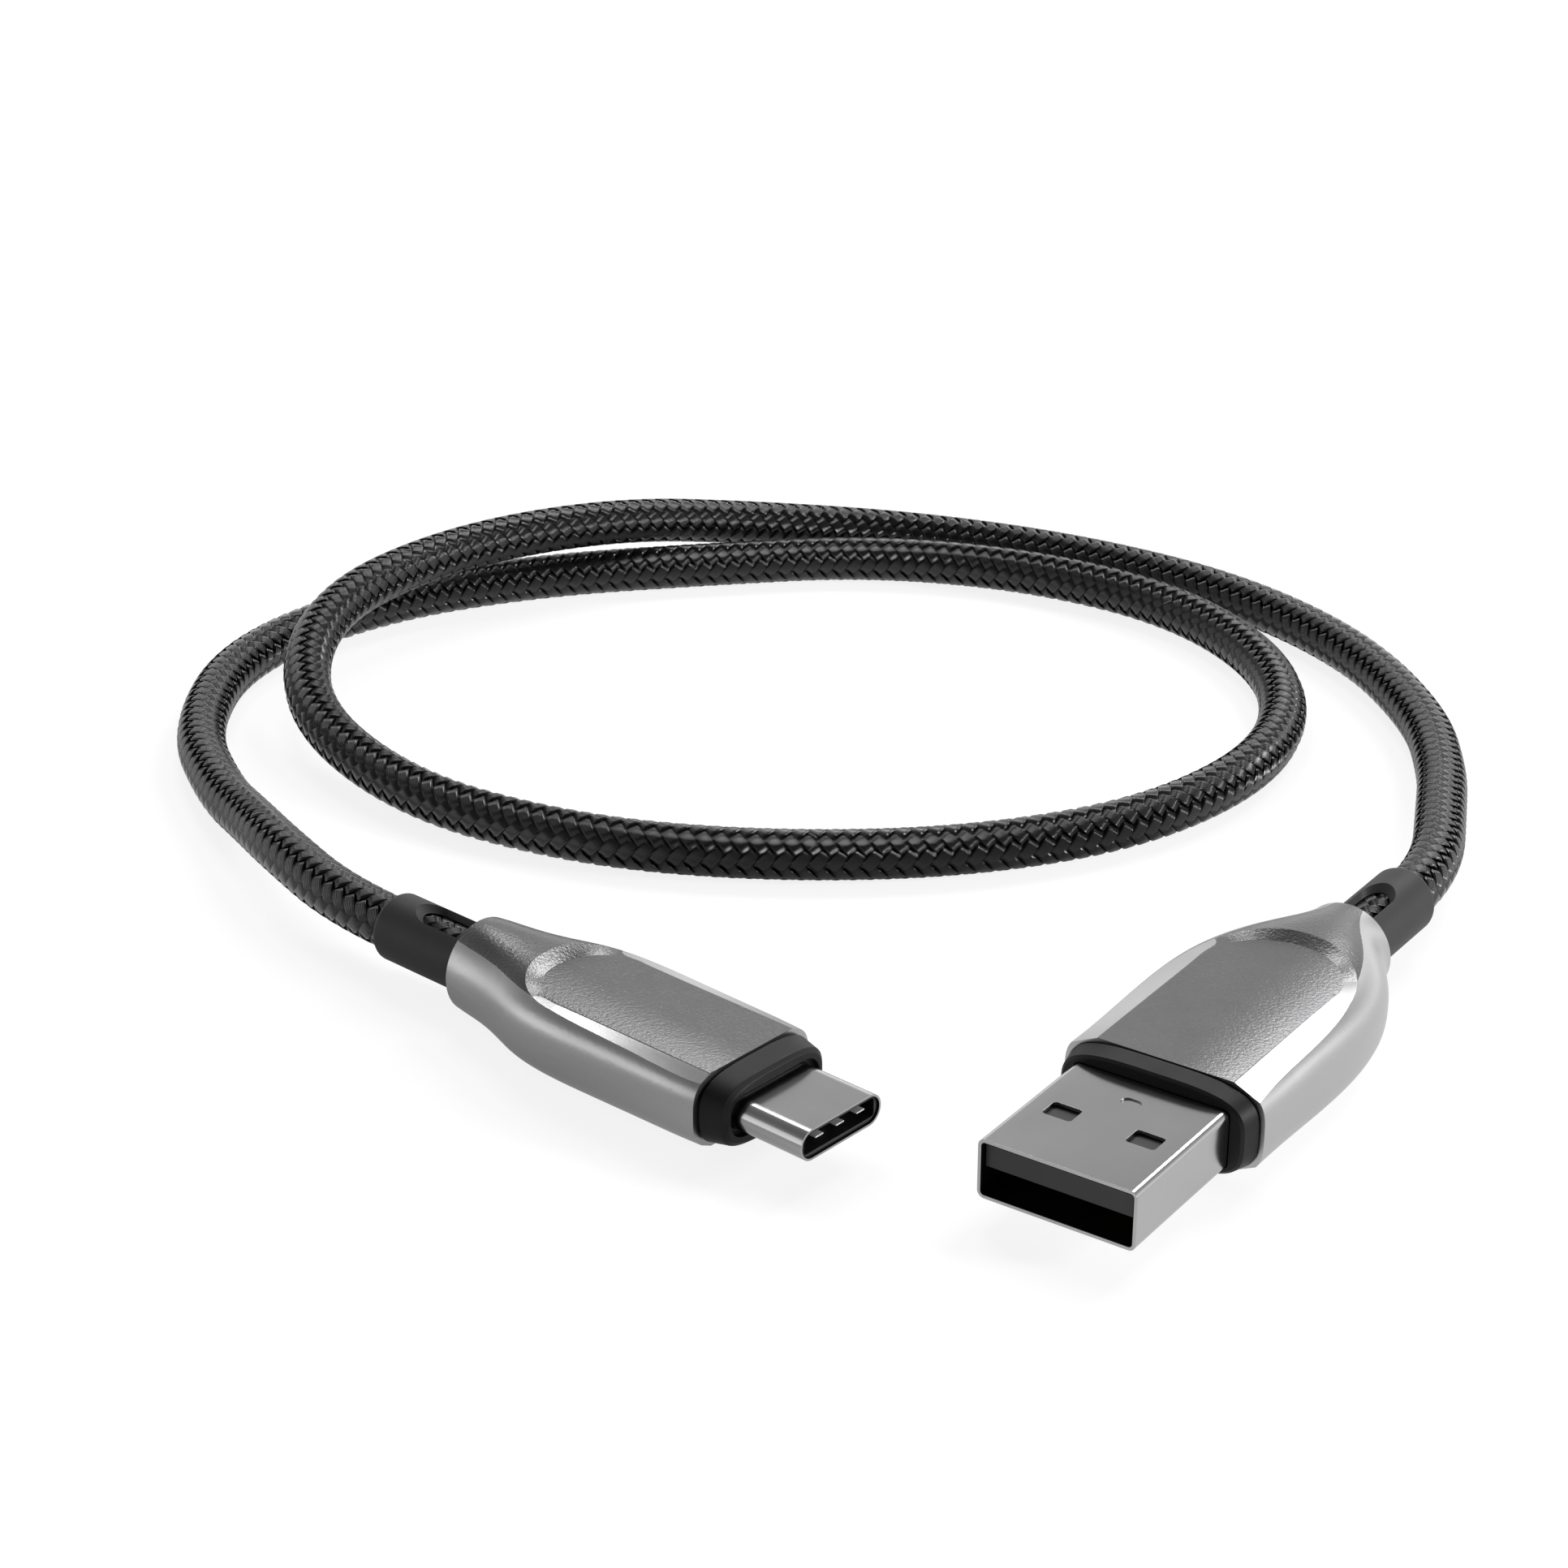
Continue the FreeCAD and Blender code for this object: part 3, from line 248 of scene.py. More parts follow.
def surface_group():
    """Fine grain and faint clouding, which all of the cable's finishes have."""
    group = bpy.data.node_groups.new("surface_detail", "ShaderNodeTree")
    for name, kind in (
        ("Color", "NodeSocketColor"),
        ("Color Spread", "NodeSocketFloat"),
        ("Roughness", "NodeSocketFloat"),
        ("Roughness Spread", "NodeSocketFloat"),
        ("Grain Scale", "NodeSocketFloat"),
        ("Cloud Scale", "NodeSocketFloat"),
    ):
        group.interface.new_socket(name=name, in_out="INPUT", socket_type=kind)
    for name, kind in (
        ("Color", "NodeSocketColor"),
        ("Roughness", "NodeSocketFloat"),
        ("Height", "NodeSocketFloat"),
    ):
        group.interface.new_socket(name=name, in_out="OUTPUT", socket_type=kind)
    given = group.nodes.new("NodeGroupInput")
    result = group.nodes.new("NodeGroupOutput")
    place = group.nodes.new("ShaderNodeTexCoord")

    def noise(scale, detail):
        texture = group.nodes.new("ShaderNodeTexNoise")
        texture.inputs["Detail"].default_value = detail
        link(group, place.outputs["Object"], texture.inputs["Vector"])
        link(group, given.outputs[scale], texture.inputs["Scale"])
        return texture.outputs["Fac"]

    def spread_round(middle, value, spread):
        centred = calculate(group, "SUBTRACT", value, 0.5)
        return calculate(group, "MULTIPLY_ADD", centred, given.outputs[spread], middle)

    grain = noise("Grain Scale", 2.0)
    clouds = noise("Cloud Scale", 3.0)
    tint = group.nodes.new("ShaderNodeVectorMath")
    tint.operation = "SCALE"
    link(group, given.outputs["Color"], tint.inputs[0])
    link(group, spread_round(1.0, grain, "Color Spread"), tint.inputs["Scale"])
    cloudy = spread_round(0.0, clouds, "Roughness Spread")
    rough = calculate(group, "ADD", given.outputs["Roughness"], cloudy)
    rough.node.use_clamp = True
    link(group, tint.outputs[0], result.inputs["Color"])
    link(group, rough, result.inputs["Roughness"])
    link(group, grain, result.inputs["Height"])
    return group


SURFACE = surface_group()


def finish(name, color, roughness, grain=6000.0, clouds=300.0, color_spread=0.2,
           roughness_spread=0.15, bump=0.1, bump_depth=0.00002, metallic=0.0, specular=0.5):
    """Material of one finish, with grain and clouding at the sizes given per metre."""
    material = bpy.data.materials.new(name)
    material.use_nodes = True
    tree = material.node_tree
    shader = tree.nodes["Principled BSDF"]
    shader.inputs["Metallic"].default_value = metallic
    shader.inputs["Specular IOR Level"].default_value = specular
    detail = tree.nodes.new("ShaderNodeGroup")
    detail.node_tree = SURFACE
    detail.inputs["Color"].default_value = (*color, 1)
    detail.inputs["Color Spread"].default_value = color_spread
    detail.inputs["Roughness"].default_value = roughness
    detail.inputs["Roughness Spread"].default_value = roughness_spread
    detail.inputs["Grain Scale"].default_value = grain
    detail.inputs["Cloud Scale"].default_value = clouds
    relief = tree.nodes.new("ShaderNodeBump")
    relief.inputs["Strength"].default_value = bump
    relief.inputs["Distance"].default_value = bump_depth
    link(tree, detail.outputs["Color"], shader.inputs["Base Color"])
    link(tree, detail.outputs["Roughness"], shader.inputs["Roughness"])
    link(tree, detail.outputs["Height"], relief.inputs["Height"])
    link(tree, relief.outputs["Normal"], shader.inputs["Normal"])
    return material


def nylon_finish():
    """Black nylon, whose filaments lean to and fro across the yarn and spread its gloss."""
    material = finish(
        "black_nylon", color=(0.003, 0.003, 0.0032), roughness=0.15,
        grain=4000, color_spread=0.5, roughness_spread=0.04,
    )
    tree = material.node_tree
    yarn_place = tree.nodes.new("ShaderNodeUVMap")
    yarn_place.uv_map = "yarn"
    parts = tree.nodes.new("ShaderNodeSeparateXYZ")
    link(tree, yarn_place.outputs["UV"], parts.inputs[0])
    wave = calculate(tree, "MULTIPLY", parts.outputs["Y"], 2 * math.pi * FILAMENTS)
    slope = calculate(tree, "SINE", wave)
    facing = tree.nodes.new("ShaderNodeCombineXYZ")
    facing.inputs["X"].default_value = 0.5
    facing.inputs["Z"].default_value = 0.5 + 0.5 * math.sqrt(1 - FILAMENT_SLOPE ** 2)
    link(tree, calculate(tree, "MULTIPLY_ADD", slope, FILAMENT_SLOPE / 2, 0.5), facing.inputs["Y"])
    # The filaments' normals take the place of the grain's relief.
    filaments = tree.nodes.new("ShaderNodeNormalMap")
    filaments.uv_map = "yarn"
    link(tree, facing.outputs[0], filaments.inputs["Color"])
    link(tree, filaments.outputs["Normal"], tree.nodes["Principled BSDF"].inputs["Normal"])
    return material


nylon = nylon_finish()


def yarn_phases(turn_way, low, high):
    """Where a yarn is cut across between two places, in crossings round the cord."""
    float_middle = FLOAT_MIDDLES[turn_way]
    first_float = math.floor((low - float_middle) / FLOAT_REPEAT) - 1
    last_float = math.ceil((high - float_middle) / FLOAT_REPEAT) + 1
    floats = np.arange(first_float, last_float + 1)
    phase = (floats[:, None] * FLOAT_REPEAT + float_middle + FLOAT_PLACES).ravel()
    phase = phase[(phase > low + NEAR_END) & (phase < high - NEAR_END)]
    return np.concatenate([[low], phase, [high]])[::turn_way]


def yarn_base(turn_way, phase):
    """Radius of a yarn's underside: high on its floats and low where it dips."""
    half_repeat = FLOAT_REPEAT / 2
    from_middle = (phase - FLOAT_MIDDLES[turn_way] + half_repeat) % FLOAT_REPEAT - half_repeat
    dip = np.clip((np.abs(from_middle) - DIP_START) / (DIP_END - DIP_START), 0, 1)
    swing = (HIGH_RADIUS - LOW_RADIUS) / 2
    return YARN_MIDDLE + swing * np.cos(np.pi * dip) - YARN_THICKNESS / 2


def yarn_faces(rings, sides):
    """Faces of a yarn: a band between each two cross-sections, and both ends."""
    ring = np.arange(rings - 1)[:, None] * sides
    one = np.arange(sides)
    two = (one + 1) % sides
    bands = np.stack([ring + one, ring + two, ring + sides + two, ring + sides + one], axis=-1)
    return np.vstack([bands.reshape(-1, 4), YARN_END[:, ::-1], YARN_END + (rings - 1) * sides])


def yarn_mesh(turn_way, number, start, end):
    """Corners, faces and UVs of one yarn between two places along the cord."""
    crossings = 2 * YARNS_EACH_WAY
    crossing = YARN_LEAD / crossings
    first_crossing = 2 * number
    limits = [turn_way * place / crossing + first_crossing for place in (start, end)]
    phase = yarn_phases(turn_way, min(limits), max(limits))
    centre_along = turn_way * (phase - first_crossing) * crossing
    across, height = np.array(YARN_PROFILE).T
    lean = math.atan(2 * np.pi * YARN_MIDDLE / YARN_LEAD)
    aside = across * YARN_HALF_WIDTH
    distance = centre_along[:, None] - turn_way * aside * math.sin(lean)
    angle = 2 * np.pi * phase[:, None] / crossings + aside * math.cos(lean) / YARN_MIDDLE
    angle = angle + CORD_TWIST * distance
    radius = yarn_base(turn_way, phase)[:, None] + height * YARN_THICKNESS
    corners = on_cord(distance, angle, radius).reshape(-1, 3)
    rings, sides = radius.shape
    faces = yarn_faces(rings, sides)
    if turn_way > 0:
        faces = faces[:, ::-1]
    u = np.repeat(centre_along[:, None] / YARN_LEAD, sides, axis=1)
    v = np.repeat((across * 0.5 + 0.5)[None, :], rings, axis=0)
    return corners, faces, np.column_stack([u.ravel(), v.ravel()])


def braid_piece(name, start, end):
    """All the yarns between two places along the cord, as one mesh."""
    corners, faces, uvs = [], [], []
    count = 0
    for turn_way in (1, -1):
        for number in range(YARNS_EACH_WAY):
            new_corners, new_faces, new_uvs = yarn_mesh(turn_way, number, start, end)
            corners.append(new_corners)
            faces.append(new_faces + count)
            uvs.append(new_uvs)
            count += len(new_corners)
    corners, faces, uvs = np.vstack(corners), np.vstack(faces), np.vstack(uvs)
    data = bpy.data.meshes.new(name)
    data.vertices.add(len(corners))
    data.vertices.foreach_set("co", corners.ravel())
    data.loops.add(faces.size)
    data.loops.foreach_set("vertex_index", faces.ravel())
    data.polygons.add(len(faces))
    data.polygons.foreach_set("loop_start", np.arange(len(faces)) * faces.shape[1])
    data.polygons.foreach_set("use_smooth", np.ones(len(faces), bool))
    data.uv_layers.new(name="yarn").data.foreach_set("uv", uvs[faces.ravel()].ravel())
    data.update(calc_edges=True)
    data.materials.append(nylon)
    piece = bpy.data.objects.new(name, data)
    bpy.context.scene.collection.objects.link(piece)
    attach(piece, "root")
    return piece


cuts = np.linspace(free_start, free_end, BRAID_PIECES + 1)
braid_pieces = [
    braid_piece("braid_%d" % (number + 1), cuts[number], cuts[number + 1])
    for number in range(BRAID_PIECES)
]
phone_braid_end = braid_piece("phone_plug_braid_end", BRAID_STOPS_SHORT, free_start)
charger_braid_end = braid_piece("charger_plug_braid_end", free_end, line_end - BRAID_STOPS_SHORT)
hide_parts("phone_plug_cord_end")
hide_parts("charger_plug_cord_end")


# The jacket: black soft plastic, extruded over the wires in one length from plug to
# plug. The braid covers it, and it shows only as dark specks between the yarns.
JACKET_RADIUS = 0.00176

jacket_curve = route_curve("jacket_curve", JACKET_RADIUS)
jacket_curve.data.use_fill_caps = True
jacket_mesh = bpy.data.meshes.new_from_object(jacket_curve)
jacket_mesh.name = "cord_jacket"
jacket_mesh.materials.append(finish("jacket_rubber", color=(0.008, 0.008, 0.008), roughness=0.6))
bpy.data.objects.remove(jacket_curve)
jacket = bpy.data.objects.new("cord_jacket", jacket_mesh)
bpy.context.scene.collection.objects.link(jacket)
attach(jacket, "root")
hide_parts("braided_cord")


# The contacts: strips of gold-plated copper alloy, pressed into the insulators. The
# wide plug has four, and the slim plug a row of twelve above and below its slot.
def dress(name, material):
    """Give a solid its finish."""
    piece = nodes[name]
    piece.data.materials.clear()
    piece.data.materials.append(material)


gold = finish("gold_plate", color=(0.83, 0.62, 0.3), roughness=0.25, metallic=1.0)
for use in ("power", "data_minus", "data_plus", "ground"):
    dress("charger_plug_contact_%s" % use, gold)
for side in ("upper", "lower"):
    dress("phone_plug_%s_contacts" % side, gold)


# The wide plug's insulator: a tongue of dark moulded plastic with the contacts in
# it, fixed in the shell, of which only the front shows in the mouth.
tongue_plastic = finish("insulator_plastic", color=(0.02, 0.02, 0.021), roughness=0.5, grain=7000)
dress("charger_plug_insulator", tongue_plastic)


# The slim plug's insulator: a black moulded lining, pushed into the shell and open
# in front in a wide slot for the socket's tongue. Its front rim is paler.
LINING_FRONT = 0.00018
LINING_REAR = 0.0063
# Half width, half height and corner radius.
LINING_OUTSIDE = (0.00391, 0.00099, 0.00098)
LINING_SLOT = (0.0036, 0.00072, 0.0003)
LINING_EDGE = 0.00004
PALE_RIM = 0.00005
PALE_COLOR = (0.05, 0.05, 0.051)
OUTLINE_POINTS = 96
RING_CREASE = math.radians(25)
SAME_PLACE = 0.0000005

# Each plug has its own frame, from its tip towards the cord. The record's mounts
# say where it lies. Pieces are drawn in it and then laid in their place.
mounts = {mount["name"]: mount for mount in frame["record"]["mounts"]}
PLUG_TIPS = {"charger": mounts["wide_connector"], "phone": mounts["slim_connector"]}


def plug_heading(plug):
    outwards = PLUG_TIPS[plug]["axis"]
    return math.atan2(-outwards[1], -outwards[0])


def plug_frame(plug):
    """Where the plug's own frame lies, as a matrix."""
    return Matrix.Translation(PLUG_TIPS[plug]["pos_m"]) @ Matrix.Rotation(plug_heading(plug), 4, "Z")


def along_across_up(tree, plug):
    """Places along, across and up in the plug's own frame, for a material."""
    place = tree.nodes.new("ShaderNodeTexCoord")
    own = tree.nodes.new("ShaderNodeMapping")
    own.vector_type = "TEXTURE"
    own.inputs["Location"].default_value = PLUG_TIPS[plug]["pos_m"]
    own.inputs["Rotation"].default_value = (0, 0, plug_heading(plug))
    parts = tree.nodes.new("ShaderNodeSeparateXYZ")
    link(tree, place.outputs["Object"], own.inputs["Vector"])
    link(tree, own.outputs[0], parts.inputs[0])
    return parts.outputs


def color_where(tree, mask, color):
    """Give a finish another colour where the mask is one."""
    base_color = tree.nodes["Principled BSDF"].inputs["Base Color"]
    mix = tree.nodes.new("ShaderNodeMix")
    mix.data_type = "RGBA"
    link(tree, mask, mix.inputs["Factor"])
    link(tree, base_color.links[0].from_socket, mix.inputs["A"])
    mix.inputs["B"].default_value = (*color, 1)
    link(tree, mix.outputs["Result"], base_color)


def outline_ways():
    turns = [2 * math.pi * (number + 0.5) / OUTLINE_POINTS for number in range(OUTLINE_POINTS)]
    return [(math.cos(turn), math.sin(turn)) for turn in turns]


def round_cornered(wide, high, corner):
    """Outline of an oblong with round corners, from its half width and half height."""
    return [
        (
            math.copysign(wide - corner, across) + corner * across,
            math.copysign(high - corner, up) + corner * up,
        )
        for across, up in outline_ways()
    ]


def soft_oblong(wide, high, power):
    """Outline of an oblong with swelling sides, from its half width and half height."""
    return [
        (
            math.copysign(abs(across) ** (2 / power), across) * wide,
            math.copysign(abs(up) ** (2 / power), up) * high,
        )
        for across, up in outline_ways()
    ]


def lofted_ring(name, plug, sections, edge):
    """Closed ring through cross-sections, each a place along the plug and an outline."""
    rings = [[Vector((along, *place)) for place in outline] for along, outline in sections]
    bpy.ops.object.select_all(action="DESELECT")
    bpy.ops.mesh.primitive_circle_add(vertices=OUTLINE_POINTS, radius=0.001, location=(0, 0, 0))
    piece = bpy.context.active_object
    piece.name = name
    data = piece.data
    data.name = name
    for vertex, place in zip(data.vertices, rings[0]):
        vertex.co = place
    bpy.ops.object.mode_set(mode="EDIT")
    bpy.ops.mesh.select_all(action="SELECT")
    for places, coming in zip(rings, [*rings[1:], rings[0]]):
        bpy.ops.mesh.extrude_region_move()
        corners = bmesh.from_edit_mesh(data)
        for vertex in corners.verts:
            if vertex.select:
                gaps = [(place - vertex.co).length_squared for place in places]
                vertex.co = coming[gaps.index(min(gaps))]
        bmesh.update_edit_mesh(data)
    bpy.ops.mesh.select_all(action="SELECT")
    bpy.ops.mesh.remove_doubles(threshold=SAME_PLACE)
    bpy.ops.mesh.select_all(action="SELECT")
    bpy.ops.mesh.normals_make_consistent(inside=False)
    bpy.ops.object.mode_set(mode="OBJECT")
    bpy.ops.object.shade_smooth_by_angle(angle=RING_CREASE)
    rounding = piece.modifiers.new("rounding", "BEVEL")
    rounding.width = edge
    rounding.segments = 2
    rounding.limit_method = "ANGLE"
    rounding.angle_limit = RING_CREASE
    rounding.harden_normals = True
    bpy.ops.object.modifier_apply(modifier="rounding")
    data.transform(plug_frame(plug))
    return piece


def lining_finish():
    """Black plastic, paler on its front rim."""
    material = finish(
        "slot_plastic", color=(0.004, 0.004, 0.004), roughness=0.5, grain=7000, specular=0.3,
    )
    tree = material.node_tree
    along = along_across_up(tree, "phone")["X"]
    color_where(tree, calculate(tree, "LESS_THAN", along, LINING_FRONT + PALE_RIM), PALE_COLOR)
    return material


lining = lofted_ring("phone_plug_insulator_skin", "phone", [
    (LINING_REAR, round_cornered(*LINING_SLOT)),
    (LINING_REAR, round_cornered(*LINING_OUTSIDE)),
    (LINING_FRONT, round_cornered(*LINING_OUTSIDE)),
    (LINING_FRONT, round_cornered(*LINING_SLOT)),
], LINING_EDGE)
lining.data.materials.append(lining_finish())
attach(lining, "root")
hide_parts("phone_plug_insulator")


# The slim plug's shielding springs and side latches: thin spring steel, stamped and
# folded. Three tabs of each spring turn forward into the slot, above and below.
TAB_FRONT = {"upper": 0.0001, "lower": 0.0018}
TAB_WIDTH = 0.0008
TAB_PITCH = 0.0021
TAB_LENGTH = 0.0012
TAB_HEIGHT = 0.00034
TAB_BEND = 0.0003
STRIP_LENGTH = 0.0008
STRIP_HEIGHT = 0.00066
STRIP_THICKNESS = 0.0001
STRIP_EDGE = 0.00002
STRIP_CREASE = math.radians(35)
AT_REAR = 0.000001

spring_steel = finish("spring_steel", color=(0.85, 0.85, 0.86), roughness=0.6, metallic=1.0)


def spring_tab(number, front):
    """One tab, flat at its front, bent outwards behind, and flat again in the strip."""
    bpy.ops.mesh.primitive_plane_add(size=1, location=(0, 0, 0))
    tab = bpy.context.active_object
    data = tab.data
    for vertex in data.vertices:
        along = front + TAB_LENGTH if vertex.co.x > 0 else front
        vertex.co = (along, vertex.co.y * TAB_WIDTH + number * TAB_PITCH, TAB_HEIGHT)
    bpy.ops.object.mode_set(mode="EDIT")
    for run, rise in ((TAB_BEND, STRIP_HEIGHT - TAB_HEIGHT), (STRIP_LENGTH, 0.0)):
        corners = bmesh.from_edit_mesh(data)
        rear = max(vertex.co.x for vertex in corners.verts)
        for edge in corners.edges:
            edge.select_set(all(vertex.co.x > rear - AT_REAR for vertex in edge.verts))
        bmesh.update_edit_mesh(data)
        bpy.ops.mesh.extrude_edges_move(TRANSFORM_OT_translate={"value": (run, 0, rise)})
    bpy.ops.object.mode_set(mode="OBJECT")
    return tab


def spring_piece(side):
    """The spring of one side: three tabs of steel strip, turned over for the lower side."""
    bpy.ops.object.select_all(action="DESELECT")
    tabs = [spring_tab(number, TAB_FRONT[side]) for number in (-1, 0, 1)]
    for tab in tabs:
        tab.select_set(True)
    bpy.context.view_layer.objects.active = tabs[0]
    bpy.ops.object.join()
    piece = bpy.context.active_object
    piece.name = "phone_plug_%s_spring_skin" % side
    piece.data.name = piece.name
    thickness = piece.modifiers.new("thickness", "SOLIDIFY")
    thickness.thickness = STRIP_THICKNESS
    bpy.ops.object.modifier_apply(modifier="thickness")
    rounding = piece.modifiers.new("rounding", "BEVEL")
    rounding.width = STRIP_EDGE
    rounding.segments = 2
    bpy.ops.object.modifier_apply(modifier="rounding")
    bpy.ops.object.shade_smooth_by_angle(angle=STRIP_CREASE)
    if side == "lower":
        piece.data.transform(Matrix.Rotation(math.pi, 4, "X"))
    piece.data.transform(plug_frame("phone"))
    piece.data.materials.append(spring_steel)
    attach(piece, "root")
    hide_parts("phone_plug_%s_spring" % side)


spring_piece("upper")
spring_piece("lower")
dress("phone_plug_side_latch", spring_steel)


# The shells: the wide one is steel sheet, folded round with a seam below, and the
# slim one a seamless drawn tube. Both are polished outside, and rougher inside, with
# painted shade that colours them dark there. The wide one is a copy of its solid,
# with its edges rounded and its seam pressed shut.
# Half width, half height, wall and corner radius.
SHELL_SIZES = {
    "charger": {"wide": 0.006, "high": 0.00225, "wall": 0.0003, "corner": 0.00055},
    "phone": {"wide": 0.004125, "high": 0.0012, "wall": 0.0002, "corner": 0.0012},
}
# The rougher inside, with its painted shade, starts at this share of the wall's depth.
INSIDE_FROM = 0.8
PAINTED_INSIDE_SHADE = (0.015, 0.015, 0.015)
INSIDE_ROUGHER = 0.45
SEAM_HALF_GAP = 0.00006
CLOSED_HALF_GAP = 0.000004
SHELL_EDGE = 0.00007
SHELL_CREASE = math.radians(35)
SOLID_SAME_PLACE = 0.000002
SOLID_FLAT = math.radians(1)


def shell_finish(plug):
    """Polished steel, rougher and painted dark as shade from most of the wall's depth inwards."""
    material = finish(
        "%s_shell_steel" % plug, color=(0.43, 0.43, 0.435), roughness=0.17,
        grain=2500, color_spread=0.04, roughness_spread=0.06, bump=0.03, metallic=1.0,
    )
    tree = material.node_tree
    size = SHELL_SIZES[plug]
    place = along_across_up(tree, plug)

    def beyond_corner(axis, half):
        """How far out of the corner's centre a place is, and zero on its inner side."""
        from_middle = calculate(tree, "ABSOLUTE", place[axis])
        beyond = calculate(tree, "SUBTRACT", from_middle, half - size["corner"])
        return calculate(tree, "MAXIMUM", beyond, 0.0)

    across = beyond_corner("Y", size["wide"])
    up = beyond_corner("Z", size["high"])
    squares = calculate(tree, "MULTIPLY_ADD", up, up, calculate(tree, "MULTIPLY", across, across))
    # Painted shade: within this depth the shell's hollow inside is coloured dark, and it is rougher
    # there too.
    depth = size["corner"] - INSIDE_FROM * size["wall"]
    inside = calculate(tree, "LESS_THAN", calculate(tree, "SQRT", squares), depth)
    color_where(tree, inside, PAINTED_INSIDE_SHADE)
    roughness = tree.nodes["Principled BSDF"].inputs["Roughness"]
    polished = roughness.links[0].from_socket
    link(tree, calculate(tree, "MULTIPLY_ADD", inside, INSIDE_ROUGHER, polished), roughness)
    return material


shell_data = nodes["charger_plug_shell"].data.copy()
shell_data.name = "charger_plug_shell_skin"
shell_data.materials.clear()
shell_data.materials.append(shell_finish("charger"))
laid = plug_frame("charger")
for vertex in shell_data.vertices:
    own = laid.inverted() @ vertex.co
    if abs(own.y) < SEAM_HALF_GAP and own.z < -SHELL_SIZES["charger"]["high"] / 2:
        own.y = math.copysign(CLOSED_HALF_GAP, own.y)
        vertex.co = laid @ own

shell = bpy.data.objects.new("charger_plug_shell_skin", shell_data)
bpy.context.scene.collection.objects.link(shell)
bpy.ops.object.select_all(action="DESELECT")
shell.select_set(True)
bpy.context.view_layer.objects.active = shell
bpy.ops.object.mode_set(mode="EDIT")
bpy.ops.mesh.select_all(action="SELECT")
bpy.ops.mesh.remove_doubles(threshold=SOLID_SAME_PLACE)
bpy.ops.mesh.dissolve_limited(angle_limit=SOLID_FLAT)
bpy.ops.mesh.customdata_custom_splitnormals_clear()
bpy.ops.object.mode_set(mode="OBJECT")
bpy.ops.object.shade_smooth_by_angle(angle=SHELL_CREASE)
rounding = shell.modifiers.new("rounding", "BEVEL")
rounding.width = SHELL_EDGE
rounding.segments = 3
rounding.limit_method = "ANGLE"
rounding.angle_limit = SHELL_CREASE
rounding.harden_normals = True
bpy.ops.object.modifier_apply(modifier="rounding")
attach(shell, "root")
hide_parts("charger_plug_shell")
dress("phone_plug_shell", shell_finish("phone"))


# The slim plug's circuit board and resistor: a small board of glass-filled resin
# behind the contacts, with one ceramic chip soldered to it.
dress("phone_plug_circuit_board", finish("board_resin", color=(0.03, 0.1, 0.06), roughness=0.35))
dress("phone_plug_resistor", finish("resistor_ceramic", color=(0.05, 0.05, 0.05), roughness=0.5))


# The wires: four in each plug, of stranded copper in a coloured plastic coat, which
# run from the cord's end to the contacts and are soldered there.
WIRE_COLORS = {
    "power": (0.55, 0.03, 0.03),
    "data_minus": (0.75, 0.75, 0.73),
    "data_plus": (0.04, 0.3, 0.08),
    "ground": (0.02, 0.02, 0.02),
}
for wire, color in WIRE_COLORS.items():
    coat = finish("wire_%s_coat" % wire, color=color, roughness=0.4)
    for plug in ("charger", "phone"):
        dress("%s_plug_wire_%s" % (plug, wire), coat)


# The inner mouldings and the ferrules: pale plastic, moulded round the wires and the
# shell's rear to hold them in the housing, and a metal ring crimped on the cord.
pale_plastic = finish("inner_mould", color=(0.75, 0.74, 0.7), roughness=0.55)
crimped_metal = finish("crimp_metal", color=(0.6, 0.6, 0.6), roughness=0.35, metallic=1.0)
for plug in ("charger", "phone"):
    dress("%s_plug_inner_mould" % plug, pale_plastic)
    dress("%s_plug_crimp" % plug, crimped_metal)


# The housings: cast aluminium, blasted to a fine satin and slid over the inner
# moulding. The flat panels above and below are darker and coarser, and look a little
# crowned towards the edge that faces the camera.
ALUMINIUM_COLOR = (0.44, 0.44, 0.443)
PANEL_COLOR = (0.14, 0.14, 0.142)
PANEL_MARGIN = 0.00002
# Depth of the blasted grain on the panels and beside them.
PANEL_GRAIN = 0.00003
FLANK_GRAIN = 0.000004
# Radius of each panel's crown, and the side of the plug that it falls to.
PANEL_CURVE = {"charger": 0.023, "phone": 0.02}
CURVED_SIDE = {"charger": -1.0, "phone": 1.0}
PANELS = {"charger": mounts["wide_panel"], "phone": mounts["slim_panel"]}


def housing_finish(plug):
    """Satin aluminium, coarser and darker on the panel, which is crowned on one side."""
    material = finish(
        "%s_housing_aluminium" % plug, color=ALUMINIUM_COLOR, roughness=0.33,
        grain=4500, color_spread=0.06, roughness_spread=0.06, metallic=1.0,
        bump=1.0, bump_depth=1.0,
    )
    tree = material.node_tree
    place = along_across_up(tree, plug)
    panel_height = PANELS[plug]["pos_m"][2] - PLUG_TIPS[plug]["pos_m"][2]
    from_middle = calculate(tree, "ABSOLUTE", place["Z"])
    panel = calculate(tree, "GREATER_THAN", from_middle, panel_height - PANEL_MARGIN)
    color_where(tree, panel, PANEL_COLOR)
    towards_edge = calculate(tree, "MULTIPLY", place["Y"], CURVED_SIDE[plug])
    towards_edge = calculate(tree, "MAXIMUM", towards_edge, 0.0)
    squared = calculate(tree, "MULTIPLY", towards_edge, towards_edge)
    fall = calculate(tree, "MULTIPLY", squared, -0.5 / PANEL_CURVE[plug])
    crown = calculate(tree, "MULTIPLY", fall, panel)
    depth = calculate(tree, "MULTIPLY_ADD", panel, PANEL_GRAIN - FLANK_GRAIN, FLANK_GRAIN)
    normal = tree.nodes["Principled BSDF"].inputs["Normal"]
    relief = normal.links[0].from_node.inputs["Height"]
    grain = relief.links[0].from_socket
    link(tree, calculate(tree, "MULTIPLY_ADD", grain, depth, crown), relief)
    return material


for plug in ("charger", "phone"):
    dress("%s_plug_housing" % plug, housing_finish(plug))


